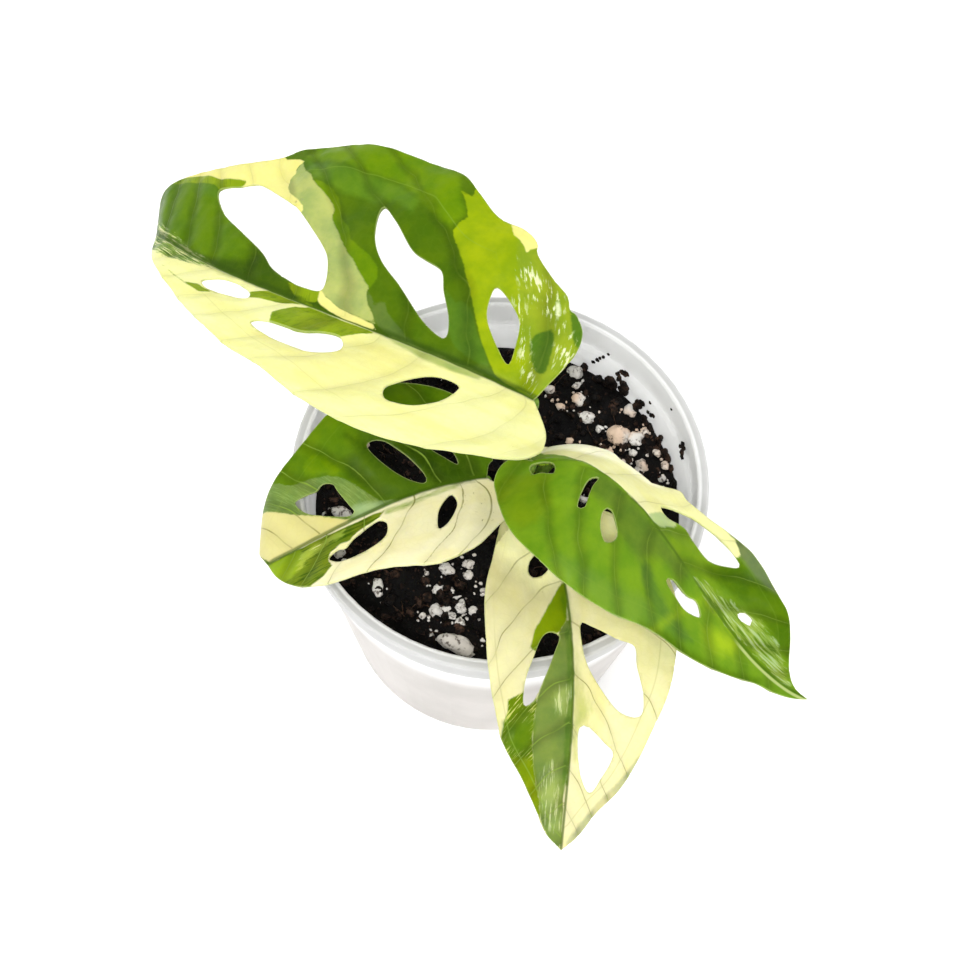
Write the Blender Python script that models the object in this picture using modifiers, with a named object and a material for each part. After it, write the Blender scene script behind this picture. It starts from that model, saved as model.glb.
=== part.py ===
"""Variegated monstera adansonii with four leaves, growing in its round nursery pot.

Sizes below are in millimetres and turned to metres as each mesh is made. The pot stands on
z = 0 with its axis on the z axis, and -y is the side nearest the viewer.
"""
import math
import random

import bmesh
import bpy
from mathutils import Vector, geometry, noise

MM = 0.001
UP = Vector((0, 0, 1))

# Pot: a turned shell with a lip, a collar below it and a tapered body
POT_HEIGHT = 80.0
LIP_RADIUS = 50.0
LIP_INNER_RADIUS = 47.2
LIP_THICKNESS = 1.4
COLLAR_RADIUS = 49.2
COLLAR_BOTTOM = 71.0
BODY_TOP_RADIUS = 47.6
BASE_RADIUS = 39.5
WALL = 1.25
FLOOR = 1.5
TURN_STEPS = 64
DRAIN_HOLES = 8
DRAIN_HOLE_RADIUS = 3.8
DRAIN_RING_RADIUS = 28.0

# Soil: fills the pot to below the collar
GAP = 0.35
SOIL_LEVEL = 63.0
SOIL_SPACING = 3.9
SOIL_RELIEF = 1.5
SOIL_EDGE_POINTS = 60
SOIL_FOOT_HEIGHT = 1.5
SOIL_FOOT_SHARE = 0.96
MOUND_HEIGHT = 1.2
MOUND_SPREAD = 300.0

# The soil's roughness, as (waves per millimetre, slice of the noise, height)
SOIL_GRAIN = ((0.16, 3.0, 1.3), (0.42, 9.0, 0.9))

# Perlite lumps added by chance
PERLITE_SEED = 11
PERLITE_COUNT = 20
PERLITE_SIZES = (1.2, 2.2)
PERLITE_WALL_ROOM = 4.5
PERLITE_ROOM = 0.8
PERLITE_STEM_ROOM = 1.5
PERLITE_SINK = 0.3

# Perlite lumps seen in the photo, as x, y, half width and half depth
SEEN_LUMPS = (
    (-27.5, -25.4, 1.3, 2.2), (-11.4, -19.3, 1.9, 1.5), (-6.3, -17.1, 1.5, 1.2), (-6.1, -20.0, 1.3, 1.2),
    (-13.1, -24.7, 1.5, 1.2), (-13.2, -29.8, 1.6, 1.8), (-7.4, -28.8, 1.3, 1.6), (-8.0, -38.4, 4.3, 2.2),
    (-38.2, -6.1, 2.4, 1.6), (-37.8, -17.0, 1.5, 1.1), (18.2, 39.1, 2.0, 1.7), (18.7, 34.8, 1.2, 1.0),
    (19.2, 30.6, 1.7, 1.6), (14.6, 28.5, 1.2, 1.0), (11.5, 32.3, 1.3, 1.2), (21.6, 25.6, 2.1, 1.7),
    (29.5, 20.6, 2.6, 2.6), (34.0, 20.4, 2.2, 2.0), (32.6, 28.8, 1.6, 1.6), (35.7, 12.8, 2.0, 2.0),
)

# Vine stem, as x, y, z and radius, with its swollen joints
STEM = (
    (2.0, 4.0, 30.0, 2.9), (2.0, 4.0, 50.0, 3.0), (2.0, 4.0, 64.0, 2.9), (2.3, 4.0, 68.0, 3.2),
    (2.8, 4.0, 71.5, 2.8), (3.3, 3.9, 74.5, 3.1), (3.8, 3.5, 78.0, 2.6), (4.0, 3.2, 81.0, 2.8),
)
STEM_HOLE_RADIUS = 3.6
STEM_HOLE_BOTTOM = 29.7

# Leaf stalks, as x, y, z and radius from the stem to just under the blade
STALKS = {
    "petiole_top": (
        (4.1, 3.0, 81.8, 2.2), (4.4, 3.0, 87.0, 1.7), (4.7, 2.2, 99.0, 1.5), (4.8, 0.2, 110.0, 1.4),
        (5.4, -2.3, 118.0, 1.3),
    ),
    "petiole_right": (
        (3.2, -0.9, 74.2, 1.7), (3.0, -3.3, 76.0, 1.5), (2.7, -5.4, 82.0, 1.4), (3.2, -7.0, 90.0, 1.3),
        (4.6, -7.7, 94.6, 1.3), (6.2, -7.7, 98.0, 1.3),
    ),
    "petiole_left": (
        (-0.4, 0.6, 67.6, 1.6), (-1.9, -1.3, 69.0, 1.4), (-2.6, -3.4, 74.0, 1.3), (-3.0, -5.4, 80.5, 1.3),
        (-3.2, -6.3, 86.9, 1.2),
    ),
    "petiole_front": (
        (7.2, 2.2, 71.3, 1.7), (9.1, 2.0, 73.2, 1.6), (10.4, 2.4, 78.8, 1.5), (12.4, 2.0, 83.3, 1.4),
        (14.2, -1.8, 85.6, 1.3), (14.0, -9.0, 85.2, 1.3), (12.6, -16.0, 82.7, 1.2),
    ),
}
STALK_STEP = 3.0

# Leaf blades
BLADE_THICKNESS = 0.7
RIB_THICKNESS = 1.8
RIB_HALF_WIDTH = 1.0
RIB_TIP_HALF_WIDTH = 0.4
EDGE_STEP = 2.6
BLADE_SPACING = 4.8
EDGE_WAVE = 0.7
EDGE_WAVE_LENGTH = 4.2
HOOK_LIMIT = 2.0

# Each blade has a midrib curve in space and a flat shape given as distance along the midrib and
# distance across it, both sides listed from the stalk to the tip. A fold is the upward angle of
# that half beside the midrib at shares of its length, and a curl adds degrees for each 10 mm out.
# A hook rolls the tip down: the line's x, the y where it is measured, its slant and the radius.
LEAVES = {
    "leaf_top": {
        "midrib": ((5.5, -2.7, 120.0), (-29.1, 9.6, 127.3), (-67.5, 25.4, 114.3), (-88.4, 51.1, 97.0)),
        "right_fold": ((0, 18), (1, 10)),
        "left_fold": ((0, 32), (1, 24)),
        "right_curl": -3,
        "left_curl": 0,
        "hook": (-83.0, 51.0, 0.12, 6.0),
        "right_edge": (
            (0, 0), (-1, 4), (-2.2, 8.3), (-3.1, 13.3), (-2.2, 17.8), (0.9, 20.9), (3, 21.6), (5.3, 24.5),
            (10.7, 27.2), (15.5, 30.1), (17.1, 32.6), (21.4, 34.8), (28.6, 36.2), (35.7, 40),
            (41.7, 43.1), (51.3, 44.6), (60, 44.7), (70.7, 43.5), (78.4, 40.9), (85.4, 37.3),
            (90, 32.3), (100, 26.1), (111, 20.6), (116.5, 16.8), (120.5, 13), (124, 8.5), (125, 4),
            (123, 0),
        ),
        "left_edge": (
            (0, 0), (-3.7, -4), (-8.6, -10), (-11.2, -15), (-12, -18.4), (-11.3, -22.5), (-8.8, -26),
            (-3.5, -30), (3.2, -33.6), (14, -37), (23.7, -37), (32, -34), (44.5, -29.2), (51, -27.2),
            (57.6, -25), (70.6, -20.2), (86.4, -13.6), (97, -9.8), (108, -5.8), (116, -2.5), (123, 0),
        ),
        "holes": (
            ((100.3, 17.5), (95, 21), (89.5, 24), (79.3, 22.4), (72.3, 20.6), (61.9, 15.1), (57.3, 11.1),
             (54.7, 5), (58.4, 3.7), (63.7, 4), (69.6, 5.3), (75, 8), (84.5, 10.7), (94.3, 13.4)),
            ((54.2, 29), (48, 25.6), (40.8, 20.8), (33, 18.9), (29.3, 14.1), (25, 8.6), (23.8, 4.4),
             (29.8, 6.2), (39.3, 12.2), (46.3, 16.2), (51, 21.3)),
            ((19.3, 19.5), (19.4, 16.2), (17.3, 11.6), (11.2, 6.1), (8.6, 4.8), (9.2, 8.6), (11, 13.9),
             (14.5, 17.2)),
            ((82.2, -6), (78.5, -2.2), (71.5, -2.3), (67.9, -5.8), (72, -8), (79, -8.4)),
            ((59.7, -13.7), (57.5, -11.2), (49.5, -10.3), (45.5, -7.5), (41.6, -7.1), (38.1, -12.3),
             (41.6, -17.4), (49.2, -17.4), (57, -15.8)),
            ((22.3, -20.1), (22.6, -16), (20.2, -8.9), (16.2, -6.5), (12.8, -8), (11.8, -15.7),
             (14, -22.3), (18.8, -24.5)),
        ),
        "green": (0.10, 0.24, 0.02),
    },
    "leaf_left": {
        "midrib": ((-3.2, -6.4, 89.0), (-20.6, -10.8, 91.9), (-36.5, -24.1, 92.5), (-51.4, -27.8, 81.0)),
        "right_fold": ((0, 16), (1, 10)),
        "left_fold": ((0, 14), (0.5, 26), (1, 22)),
        "right_curl": -3,
        "left_curl": 0,
        "hook": (-50.0, -28.0, 0.0, 5.5),
        "right_edge": (
            (0, 0), (-1.5, 2.9), (-3.2, 4.3), (-4.2, 9), (-4, 15), (-1, 20.5), (5, 24.8), (12, 27.3),
            (20, 28), (29.7, 26.2), (39, 21.8), (48.2, 17), (54, 13.4), (58, 10.5), (59.5, 8),
            (58.5, 5), (57, 2), (56, -0.5),
        ),
        "left_edge": (
            (0, 0), (-1.5, -2), (-4, -5.5), (-4, -10), (0.9, -13.5), (8.4, -19.6), (15.7, -22.4),
            (19.5, -22.5), (29, -18.8), (32.8, -17.2), (42.6, -14.8), (49.4, -11.1), (52.6, -8.2),
            (54.9, -4.5), (56, -0.5),
        ),
        "holes": (
            ((23.7, 14.9), (20.2, 14.7), (16.5, 10.1), (13.8, 4.1), (14.6, 1.9), (18.5, 4.8), (22.2, 10.4)),
            ((5.5, 4.3), (5.6, 7.7), (8.5, 11.5), (11.5, 13), (10.5, 9.8), (8.3, 7)),
            ((44.1, 10.2), (40.6, 10.4), (38.5, 10.2), (36.6, 11), (34.4, 10), (33.7, 7.6), (32.3, 3.3),
             (31.9, 1.9), (33.3, 1.5), (36.4, 2.8), (40, 4.9), (42.9, 7.2)),
            ((40.9, -7.4), (38.6, -6.2), (36.5, -6.8), (34.4, -5.4), (30.8, -4), (27.2, -3.4), (25.8, -5.6),
             (26.9, -9.2), (29.9, -10.7), (34.9, -11), (38.8, -10.2)),
            ((9.5, -3.1), (9.2, -6.5), (12.5, -11.2), (15.3, -12.6), (14.1, -7.8), (11.8, -4.6)),
        ),
        "green": (0.12, 0.26, 0.03),
    },
    "leaf_right": {
        "midrib": ((6.5, -7.4, 101.0), (33.3, -2.7, 109.1), (42.6, -49.9, 101.4), (69.9, -52.9, 84.0)),
        "right_fold": ((0, 4), (1, 10)),
        "left_fold": ((0, -50), (0.35, -46), (0.52, -20), (0.65, 8), (0.8, 20), (1, 20)),
        "right_curl": -5,
        "left_curl": 0,
        "hook": None,
        "right_edge": (
            (0, 0), (-2.5, 0.2), (-4.4, 0.9), (-5, 3.9), (-3.7, 8), (-1.1, 11.3), (3.4, 16.5), (9.2, 21.3),
            (16.5, 24.7), (24.5, 25.8), (31.7, 24.7), (41, 21.4), (49.8, 16.1), (59.8, 11.9), (68, 7.5),
            (74.3, 3.9), (79.4, 2.6), (84.5, 1), (86.5, 0),
        ),
        "left_edge": (
            (0, 0), (-1.5, -4), (-2.8, -10), (-1.1, -17), (6, -17.5), (13, -17), (17, -17.5), (21, -16),
            (27.6, -17), (33, -17.5), (36.5, -18.3), (39.5, -15.8), (47, -15), (57.6, -15), (65.3, -13.5),
            (70, -12.3), (73.7, -9.1), (78.4, -3.5), (82.2, -1), (86.5, 0),
        ),
        "holes": (
            ((0.8, 1.5), (3.4, 5.1), (5.4, 4.7), (8.4, 4.6), (6, 1.5)),
            ((19, 1.6), (17.4, 3.1), (18, 6.5), (19.8, 10.3), (21.2, 9.4), (20, 6.4), (19.2, 4)),
            ((25.3, 7.2), (26.7, 5.9), (31, 8.4), (31.7, 10.5), (30.2, 12.3), (27.1, 10.4)),
            ((46, 6), (47, 4.4), (51.2, 3.9), (53.6, 2.6), (56.2, 4), (53.2, 6.1), (49.8, 6.4)),
            ((61.9, -3.7), (63, -5.2), (65, -5.4), (65.4, -4.3), (63.5, -3.5)),
            ((35.3, -7), (35.8, -9), (41.7, -11.8), (48, -12.3), (55.6, -11), (54, -8.5), (50, -6),
             (45.2, -6.6), (41.8, -7.5), (37.7, -5.8)),
        ),
        "green": (0.16, 0.32, 0.03),
    },
    "leaf_front": {
        "midrib": ((12.5, -16.6, 85.0), (20.4, -46.4, 91.0), (18.5, -63.5, 86.8), (18.6, -85.0, 64.0)),
        "right_fold": ((0, 16), (1, 16)),
        "left_fold": ((0, 14), (1, 14)),
        "right_curl": -3,
        "left_curl": -3,
        "hook": None,
        "right_edge": (
            (0, 0), (-3, 3), (-5, 7.5), (-3.5, 10.8), (-1, 12.3), (6.1, 15.5), (13.6, 18.5), (23.5, 19.6),
            (34.9, 19.1), (47.4, 16.8), (52.9, 15), (60.5, 10.5), (68.2, 6.4), (72.7, 4), (76.5, 0),
        ),
        "left_edge": (
            (0, 0), (-3, -3), (-5, -9), (-3, -15), (3, -20), (10, -23), (20, -24), (30.5, -22.8),
            (40, -20.9), (49.1, -17.8), (57.1, -14.8), (63.4, -11.5), (68.5, -7), (73.5, -3.5), (76.5, 0),
        ),
        "holes": (
            ((5.5, 4.5), (8.4, 2.8), (10.8, 4.8), (11.4, 7.2), (10, 8.1), (7.2, 7)),
            ((24.8, 5), (25.8, 2.7), (30, 4.2), (37.4, 7), (42, 9), (42.6, 11.2), (37, 11), (31.7, 9.3),
             (26.5, 7.1)),
            ((23, -2.2), (23.4, -4.5), (26.8, -9.9), (28.8, -13.7), (33.8, -14), (40.9, -15.3),
             (46, -14.8), (44.8, -10.2), (38.3, -5.7), (31.5, -2.8)),
            ((48.4, -1.9), (48.5, -3.8), (52.3, -7.4), (55.2, -9.5), (60.8, -7.3), (64, -5),
             (59.8, -2.7), (52, -1.5)),
        ),
        "green": (0.62, 0.60, 0.24),
    },
}


def table(pairs, share):
    """Read a table of (share, value) pairs with straight lines between them."""
    for (s0, v0), (s1, v1) in zip(pairs, pairs[1:]):
        if share <= s1:
            return v0 + (v1 - v0) * (share - s0) / (s1 - s0)
    return pairs[-1][1]


def smooth(points, step, closed):
    """Round a chain of points with a Catmull-Rom curve and space it out by about the step."""
    pts = [Vector(p) for p in points]
    n = len(pts)
    spans = n if closed else n - 1
    chain = []
    for i in range(spans):
        if closed:
            a, b, c, d = (pts[(i + k) % n] for k in (-1, 0, 1, 2))
        else:
            b, c = pts[i], pts[i + 1]
            a = pts[i - 1] if i else b * 2 - c
            d = pts[i + 2] if i + 2 < n else c * 2 - b
        cuts = max(1, round((c - b).length / step))
        for k in range(cuts):
            t = k / cuts
            chain.append(0.5 * (b * 2 + (c - a) * t + (a * 2 - b * 5 + c * 4 - d) * t * t
                                + (b * 3 - a - c * 3 + d) * t ** 3))
    if not closed:
        chain.append(pts[-1])
    return chain


def inside(point, loop):
    """Tell whether a flat point lies in a closed loop."""
    x, y = point
    hit = False
    for (x0, y0), (x1, y1) in zip(loop, loop[1:] + loop[:1]):
        if (y0 > y) != (y1 > y) and x < x0 + (x1 - x0) * (y - y0) / (y1 - y0):
            hit = not hit
    return hit


class Blade:
    """A leaf's surface in space, read by distance along its midrib and distance across it."""

    def __init__(self, shape):
        self.shape = shape
        self.midrib = [Vector(p) for p in shape["midrib"]]
        steps = [self.rib_point(i / 200) for i in range(201)]
        self.length = sum((b - a).length for a, b in zip(steps, steps[1:]))
        chord = (self.midrib[3] - self.midrib[0]).normalized()
        self.side = chord.cross(UP).normalized()
        self.lift = self.side.cross(chord)
        self.back = (self.rib_slope(0).normalized() + chord).normalized()

    def rib_point(self, t):
        a, b, c, d = self.midrib
        s = 1 - t
        return a * s ** 3 + b * (3 * s * s * t) + c * (3 * s * t * t) + d * t ** 3

    def rib_slope(self, t):
        a, b, c, d = self.midrib
        s = 1 - t
        return (b - a) * (3 * s * s) + (c - b) * (6 * s * t) + (d - c) * (3 * t * t)

    def point(self, along, across):
        t = min(max(along / self.length, 0.0), 1.0)
        place = self.rib_point(t)
        if along < 0:
            place += self.back * along
        else:
            place += self.rib_slope(t) * ((along - t * self.length) / self.length)
        half = "right" if across >= 0 else "left"
        fold = math.radians(table(self.shape[half + "_fold"], t))
        bend = math.radians(self.shape[half + "_curl"]) / 10 or 1e-6
        out = abs(across)
        flat = (math.sin(fold + bend * out) - math.sin(fold)) / bend
        rise = (math.cos(fold) - math.cos(fold + bend * out)) / bend
        rise += EDGE_WAVE * min(out / 25, 1) ** 2 * math.sin(along / EDGE_WAVE_LENGTH + across / 9)
        place += self.side * math.copysign(flat, across) + self.lift * rise
        if self.shape["hook"]:
            self.hook(place)
        return place

    def hook(self, place):
        """Roll the tip down past a line over the ground that starts the hook."""
        start_x, start_y, slant, radius = self.shape["hook"]
        past = start_x - place.x - slant * (place.y - start_y)
        if past > 0:
            turn = min(past / radius, HOOK_LIMIT)
            place.x += past - radius * math.sin(turn)
            place.z -= radius * (1 - math.cos(turn))


def link(obj, collection):
    collection.objects.link(obj)
    return obj


def material(name, colour, roughness, subsurface=0.0, transmission=0.0):
    mat = bpy.data.materials.new(name)
    mat.use_nodes = True
    bsdf = mat.node_tree.nodes["Principled BSDF"]
    bsdf.inputs["Base Color"].default_value = (*colour, 1.0)
    bsdf.inputs["Roughness"].default_value = roughness
    bsdf.inputs["Metallic"].default_value = 0.0
    bsdf.inputs["Subsurface Weight"].default_value = subsurface
    bsdf.inputs["Transmission Weight"].default_value = transmission
    mat.diffuse_color = (*colour, 1.0)
    return mat


def hex_points(low, high, spacing):
    """Points of a triangular grid over a box."""
    rows = int((high[1] - low[1]) / (spacing * 0.866)) + 1
    cols = int((high[0] - low[0]) / spacing) + 1
    for row in range(rows):
        for col in range(cols):
            yield Vector((low[0] + (col + 0.5 * (row % 2)) * spacing, low[1] + row * spacing * 0.866))


def loop_edges(first, count):
    return [(first + i, first + (i + 1) % count) for i in range(count)]


def flat_fill(loops, lines, extra):
    """Triangulate the ground inside the first loop and outside the others, keeping the lines."""
    points = []
    edges = []
    for loop in loops:
        edges += loop_edges(len(points), len(loop))
        points += loop
    for line in lines:
        edges += [(len(points) + i, len(points) + i + 1) for i in range(len(line) - 1)]
        points += line
    points += extra
    made = geometry.delaunay_2d_cdt(points, edges, [], 0, 1e-4)
    places, faces = made[0], made[2]
    kept = []
    for face in faces:
        middle = sum((places[i] for i in face), Vector((0, 0))) / 3
        if inside(middle, loops[0]) and not any(inside(middle, hole) for hole in loops[1:]):
            kept.append(face)
    return places, kept


def rib_lines(tip):
    """The midrib's crest and the two lines where it meets the blade."""
    count = int(tip / 3.0)
    crest = [Vector((0.6 + (tip - 1.2) * i / count, 0.0)) for i in range(count + 1)]
    lines = [crest]
    for sign in (1, -1):
        foot = []
        for point in crest[1:-1]:
            share = point.x / tip
            width = RIB_HALF_WIDTH + (RIB_TIP_HALF_WIDTH - RIB_HALF_WIDTH) * share
            foot.append(Vector((point.x, sign * width)))
        lines.append(foot)
    return lines


def leaf(name, shape, parts):
    """A thin waved blade with its holes and the raised rib below it."""
    blade = Blade(shape)
    right = smooth(shape["right_edge"], EDGE_STEP, False)
    left = smooth(shape["left_edge"], EDGE_STEP, False)
    outline = right + left[-2:0:-1]
    holes = [smooth(hole, EDGE_STEP, True) for hole in shape["holes"]]
    tip = min(shape["right_edge"][-1][0], blade.length + 12)
    lines = rib_lines(tip)
    rim = [p for loop in [outline] + holes for p in loop]
    low = (min(p.x for p in outline), min(p.y for p in outline))
    high = (max(p.x for p in outline), max(p.y for p in outline))
    extra = []
    for p in hex_points(low, high, BLADE_SPACING):
        clear = all((p - q).length > BLADE_SPACING * 0.5 for q in rim)
        if clear and abs(p.y) > RIB_HALF_WIDTH + 1.6 and inside(p, outline):
            if not any(inside(p, hole) for hole in holes):
                extra.append(p)
    places, faces = flat_fill([outline] + holes, lines, extra)
    mesh = bpy.data.meshes.new(name)
    mesh.from_pydata([blade.point(p.x, p.y) * MM for p in places], [], [tuple(reversed(f)) for f in faces])
    obj = link(bpy.data.objects.new(name, mesh), parts)
    drop_loose(mesh)
    group = obj.vertex_groups.new(name="rib")
    crest = {tuple(round(c, 6) for c in blade.point(p.x, p.y) * MM) for p in lines[0]}
    on_rib = [v.index for v in mesh.vertices if tuple(round(c, 6) for c in v.co) in crest]
    group.add([v.index for v in mesh.vertices], 0.0, "REPLACE")
    group.add(on_rib, 1.0, "REPLACE")
    solid = obj.modifiers.new("thickness", "SOLIDIFY")
    solid.thickness = RIB_THICKNESS * MM
    solid.offset = -1
    solid.vertex_group = "rib"
    solid.thickness_vertex_group = BLADE_THICKNESS / RIB_THICKNESS
    mesh.materials.append(material(name + "_green", shape["green"], 0.4, subsurface=0.1))
    return obj


def drop_loose(mesh):
    """Take away the points that no face uses."""
    bm = bmesh.new()
    bm.from_mesh(mesh)
    bmesh.ops.delete(bm, geom=[v for v in bm.verts if not v.link_faces], context="VERTS")
    bm.to_mesh(mesh)
    bm.free()


def tube(name, knots, parts, mat):
    """A round stalk along a smoothed chain of (x, y, z, radius) knots."""
    chain = smooth([Vector(k) for k in knots], STALK_STEP, False)
    curve = bpy.data.curves.new(name, "CURVE")
    curve.dimensions = "3D"
    curve.bevel_depth = MM
    curve.bevel_resolution = 3
    curve.use_fill_caps = True
    spline = curve.splines.new("POLY")
    spline.points.add(len(chain) - 1)
    for knot, point in zip(spline.points, chain):
        knot.co = (point[0] * MM, point[1] * MM, point[2] * MM, 1.0)
        knot.radius = point[3]
    curve.materials.append(mat)
    return link(bpy.data.objects.new(name, curve), parts)


def pot_profile():
    """The pot's section from the middle of its floor, up inside, over the lip and down outside."""
    inner_base = BASE_RADIUS - WALL
    inner_top = BODY_TOP_RADIUS - WALL
    return (
        (0.0, FLOOR), (inner_base - 1.0, FLOOR), (inner_base + 0.2, FLOOR + 1.0),
        (inner_top, COLLAR_BOTTOM - 1.0), (LIP_INNER_RADIUS - 0.3, COLLAR_BOTTOM + 0.6),
        (LIP_INNER_RADIUS, POT_HEIGHT - 0.4), (LIP_INNER_RADIUS + 0.4, POT_HEIGHT),
        (LIP_RADIUS - 0.5, POT_HEIGHT), (LIP_RADIUS, POT_HEIGHT - 0.5),
        (LIP_RADIUS, POT_HEIGHT - LIP_THICKNESS), (COLLAR_RADIUS, POT_HEIGHT - LIP_THICKNESS - 0.5),
        (COLLAR_RADIUS - 0.2, COLLAR_BOTTOM + 0.3), (COLLAR_RADIUS - 0.6, COLLAR_BOTTOM),
        (BODY_TOP_RADIUS, COLLAR_BOTTOM - 0.2), (BASE_RADIUS + 0.1, 0.8), (BASE_RADIUS - 0.7, 0.0),
        (0.0, 0.0),
    )


def pot(parts, cutters):
    profile = pot_profile()
    mesh = bpy.data.meshes.new("pot")
    mesh.from_pydata([(r * MM, 0, z * MM) for r, z in profile],
                     [(i, i + 1) for i in range(len(profile) - 1)], [])
    obj = link(bpy.data.objects.new("pot", mesh), parts)
    screw = obj.modifiers.new("turn", "SCREW")
    screw.steps = TURN_STEPS
    screw.render_steps = TURN_STEPS
    screw.use_merge_vertices = True
    screw.merge_threshold = 0.00005
    screw.use_smooth_shade = True
    for i in range(DRAIN_HOLES):
        turn = math.tau * i / DRAIN_HOLES
        place = (DRAIN_RING_RADIUS * math.cos(turn), DRAIN_RING_RADIUS * math.sin(turn), FLOOR / 2)
        cutter = cylinder("drain_%d" % i, DRAIN_HOLE_RADIUS, FLOOR * 3, place, 20, cutters)
        cut(obj, cutter)
    mesh.materials.append(material("milky_plastic", (0.86, 0.87, 0.88), 0.35, transmission=0.35))
    return obj


def cylinder(name, radius, depth, place, sides, collection):
    mesh = bpy.data.meshes.new(name)
    bm = bmesh.new()
    bmesh.ops.create_cone(bm, cap_ends=True, segments=sides, radius1=radius * MM, radius2=radius * MM,
                          depth=depth * MM)
    bm.to_mesh(mesh)
    bm.free()
    obj = link(bpy.data.objects.new(name, mesh), collection)
    obj.location = Vector(place) * MM
    return obj


def cut(obj, cutter):
    cutter.hide_render = True
    cutter.display_type = "WIRE"
    boolean = obj.modifiers.new(cutter.name, "BOOLEAN")
    boolean.operation = "DIFFERENCE"
    boolean.solver = "EXACT"
    boolean.object = cutter


def wall_radius(height):
    """The pot's inner radius at a height."""
    low, high = BASE_RADIUS - WALL + 0.2, BODY_TOP_RADIUS - WALL
    return low + (high - low) * (height - FLOOR - 1.0) / (COLLAR_BOTTOM - FLOOR - 2.0)


def soil_height(x, y):
    """The soil's rough top, a little higher around the stem."""
    grain = sum(noise.noise(Vector((x, y, at)) * waves) * height for waves, at, height in SOIL_GRAIN)
    from_stem = (x - STEM[0][0]) ** 2 + (y - STEM[0][1]) ** 2
    return SOIL_LEVEL + SOIL_RELIEF * grain + MOUND_HEIGHT * math.exp(-from_stem / MOUND_SPREAD)


def soil_body():
    """A disc with a rough top, closed down to the pot's floor."""
    edge = []
    for i in range(SOIL_EDGE_POINTS):
        turn = math.tau * i / SOIL_EDGE_POINTS
        edge.append(Vector((math.cos(turn), math.sin(turn))) * (wall_radius(SOIL_LEVEL) - GAP))
    reach = edge[0].x
    extra = [p for p in hex_points((-reach, -reach), (reach, reach), SOIL_SPACING)
             if p.length < reach - SOIL_SPACING * 0.6]
    places, faces = flat_fill([edge], [], extra)
    mesh = bpy.data.meshes.new("soil")
    points = []
    for p in places:
        height = SOIL_LEVEL if p.length > reach - 0.5 else soil_height(p.x, p.y)
        points.append(Vector((p.x, p.y, height)) * MM)
    mesh.from_pydata(points, [], [tuple(f) for f in faces])
    bm = bmesh.new()
    bm.from_mesh(mesh)
    rim = [e for e in bm.edges if e.is_boundary]
    made = bmesh.ops.extrude_edge_only(bm, edges=rim)["geom"]
    low = [v for v in made if isinstance(v, bmesh.types.BMVert)]
    low_height = FLOOR + SOIL_FOOT_HEIGHT
    shrink = (wall_radius(low_height) - GAP) / reach
    for v in low:
        v.co = Vector((v.co.x * shrink, v.co.y * shrink, low_height * MM))
    low_rim = [e for e in made if isinstance(e, bmesh.types.BMEdge)]
    foot = bmesh.ops.extrude_edge_only(bm, edges=low_rim)["geom"]
    for v in foot:
        if isinstance(v, bmesh.types.BMVert):
            v.co = Vector((v.co.x * SOIL_FOOT_SHARE, v.co.y * SOIL_FOOT_SHARE, (FLOOR + GAP) * MM))
    bmesh.ops.holes_fill(bm, edges=[e for e in bm.edges if e.is_boundary], sides=0)
    bmesh.ops.recalc_face_normals(bm, faces=bm.faces)
    bm.to_mesh(mesh)
    bm.free()
    return mesh


def lump(name, x, y, wide, deep, chance, collection):
    """One lump of perlite, squashed and sunk about half its depth."""
    mesh = bpy.data.meshes.new(name)
    bm = bmesh.new()
    bmesh.ops.create_icosphere(bm, subdivisions=1, radius=MM)
    for v in bm.verts:
        v.co *= chance.uniform(0.85, 1.15)
    bm.to_mesh(mesh)
    bm.free()
    obj = link(bpy.data.objects.new(name, mesh), collection)
    high = min(wide, deep) * chance.uniform(0.75, 0.95)
    obj.scale = (wide, deep, high)
    obj.location = Vector((x, y, soil_height(x, y) - high * PERLITE_SINK)) * MM
    return obj


def under_leaves(x, y):
    """Whether a place on the soil is hidden by the leaves in the photo."""
    return (x < 8 and y > -10) or (x > 4 and y < 4)


def perlite(collection):
    """The lumps seen in the photo, then more by chance under the leaves."""
    chance = random.Random(PERLITE_SEED)
    placed = list(SEEN_LUMPS)
    while len(placed) < len(SEEN_LUMPS) + PERLITE_COUNT:
        wide = chance.uniform(*PERLITE_SIZES)
        turn = chance.uniform(0, math.tau)
        reach = (wall_radius(SOIL_LEVEL) - PERLITE_WALL_ROOM) * math.sqrt(chance.random())
        x, y = reach * math.cos(turn), reach * math.sin(turn)
        room = all(math.hypot(x - a, y - b) > wide + max(w, d) + PERLITE_ROOM for a, b, w, d in placed)
        from_stem = math.hypot(x - STEM[0][0], y - STEM[0][1])
        if room and under_leaves(x, y) and from_stem > STEM_HOLE_RADIUS + wide + PERLITE_STEM_ROOM:
            placed.append((x, y, wide, wide * chance.uniform(0.7, 1.0)))
    for i, (x, y, wide, deep) in enumerate(placed):
        lump("lump_%02d" % i, x, y, wide, deep, chance, collection)


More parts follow.
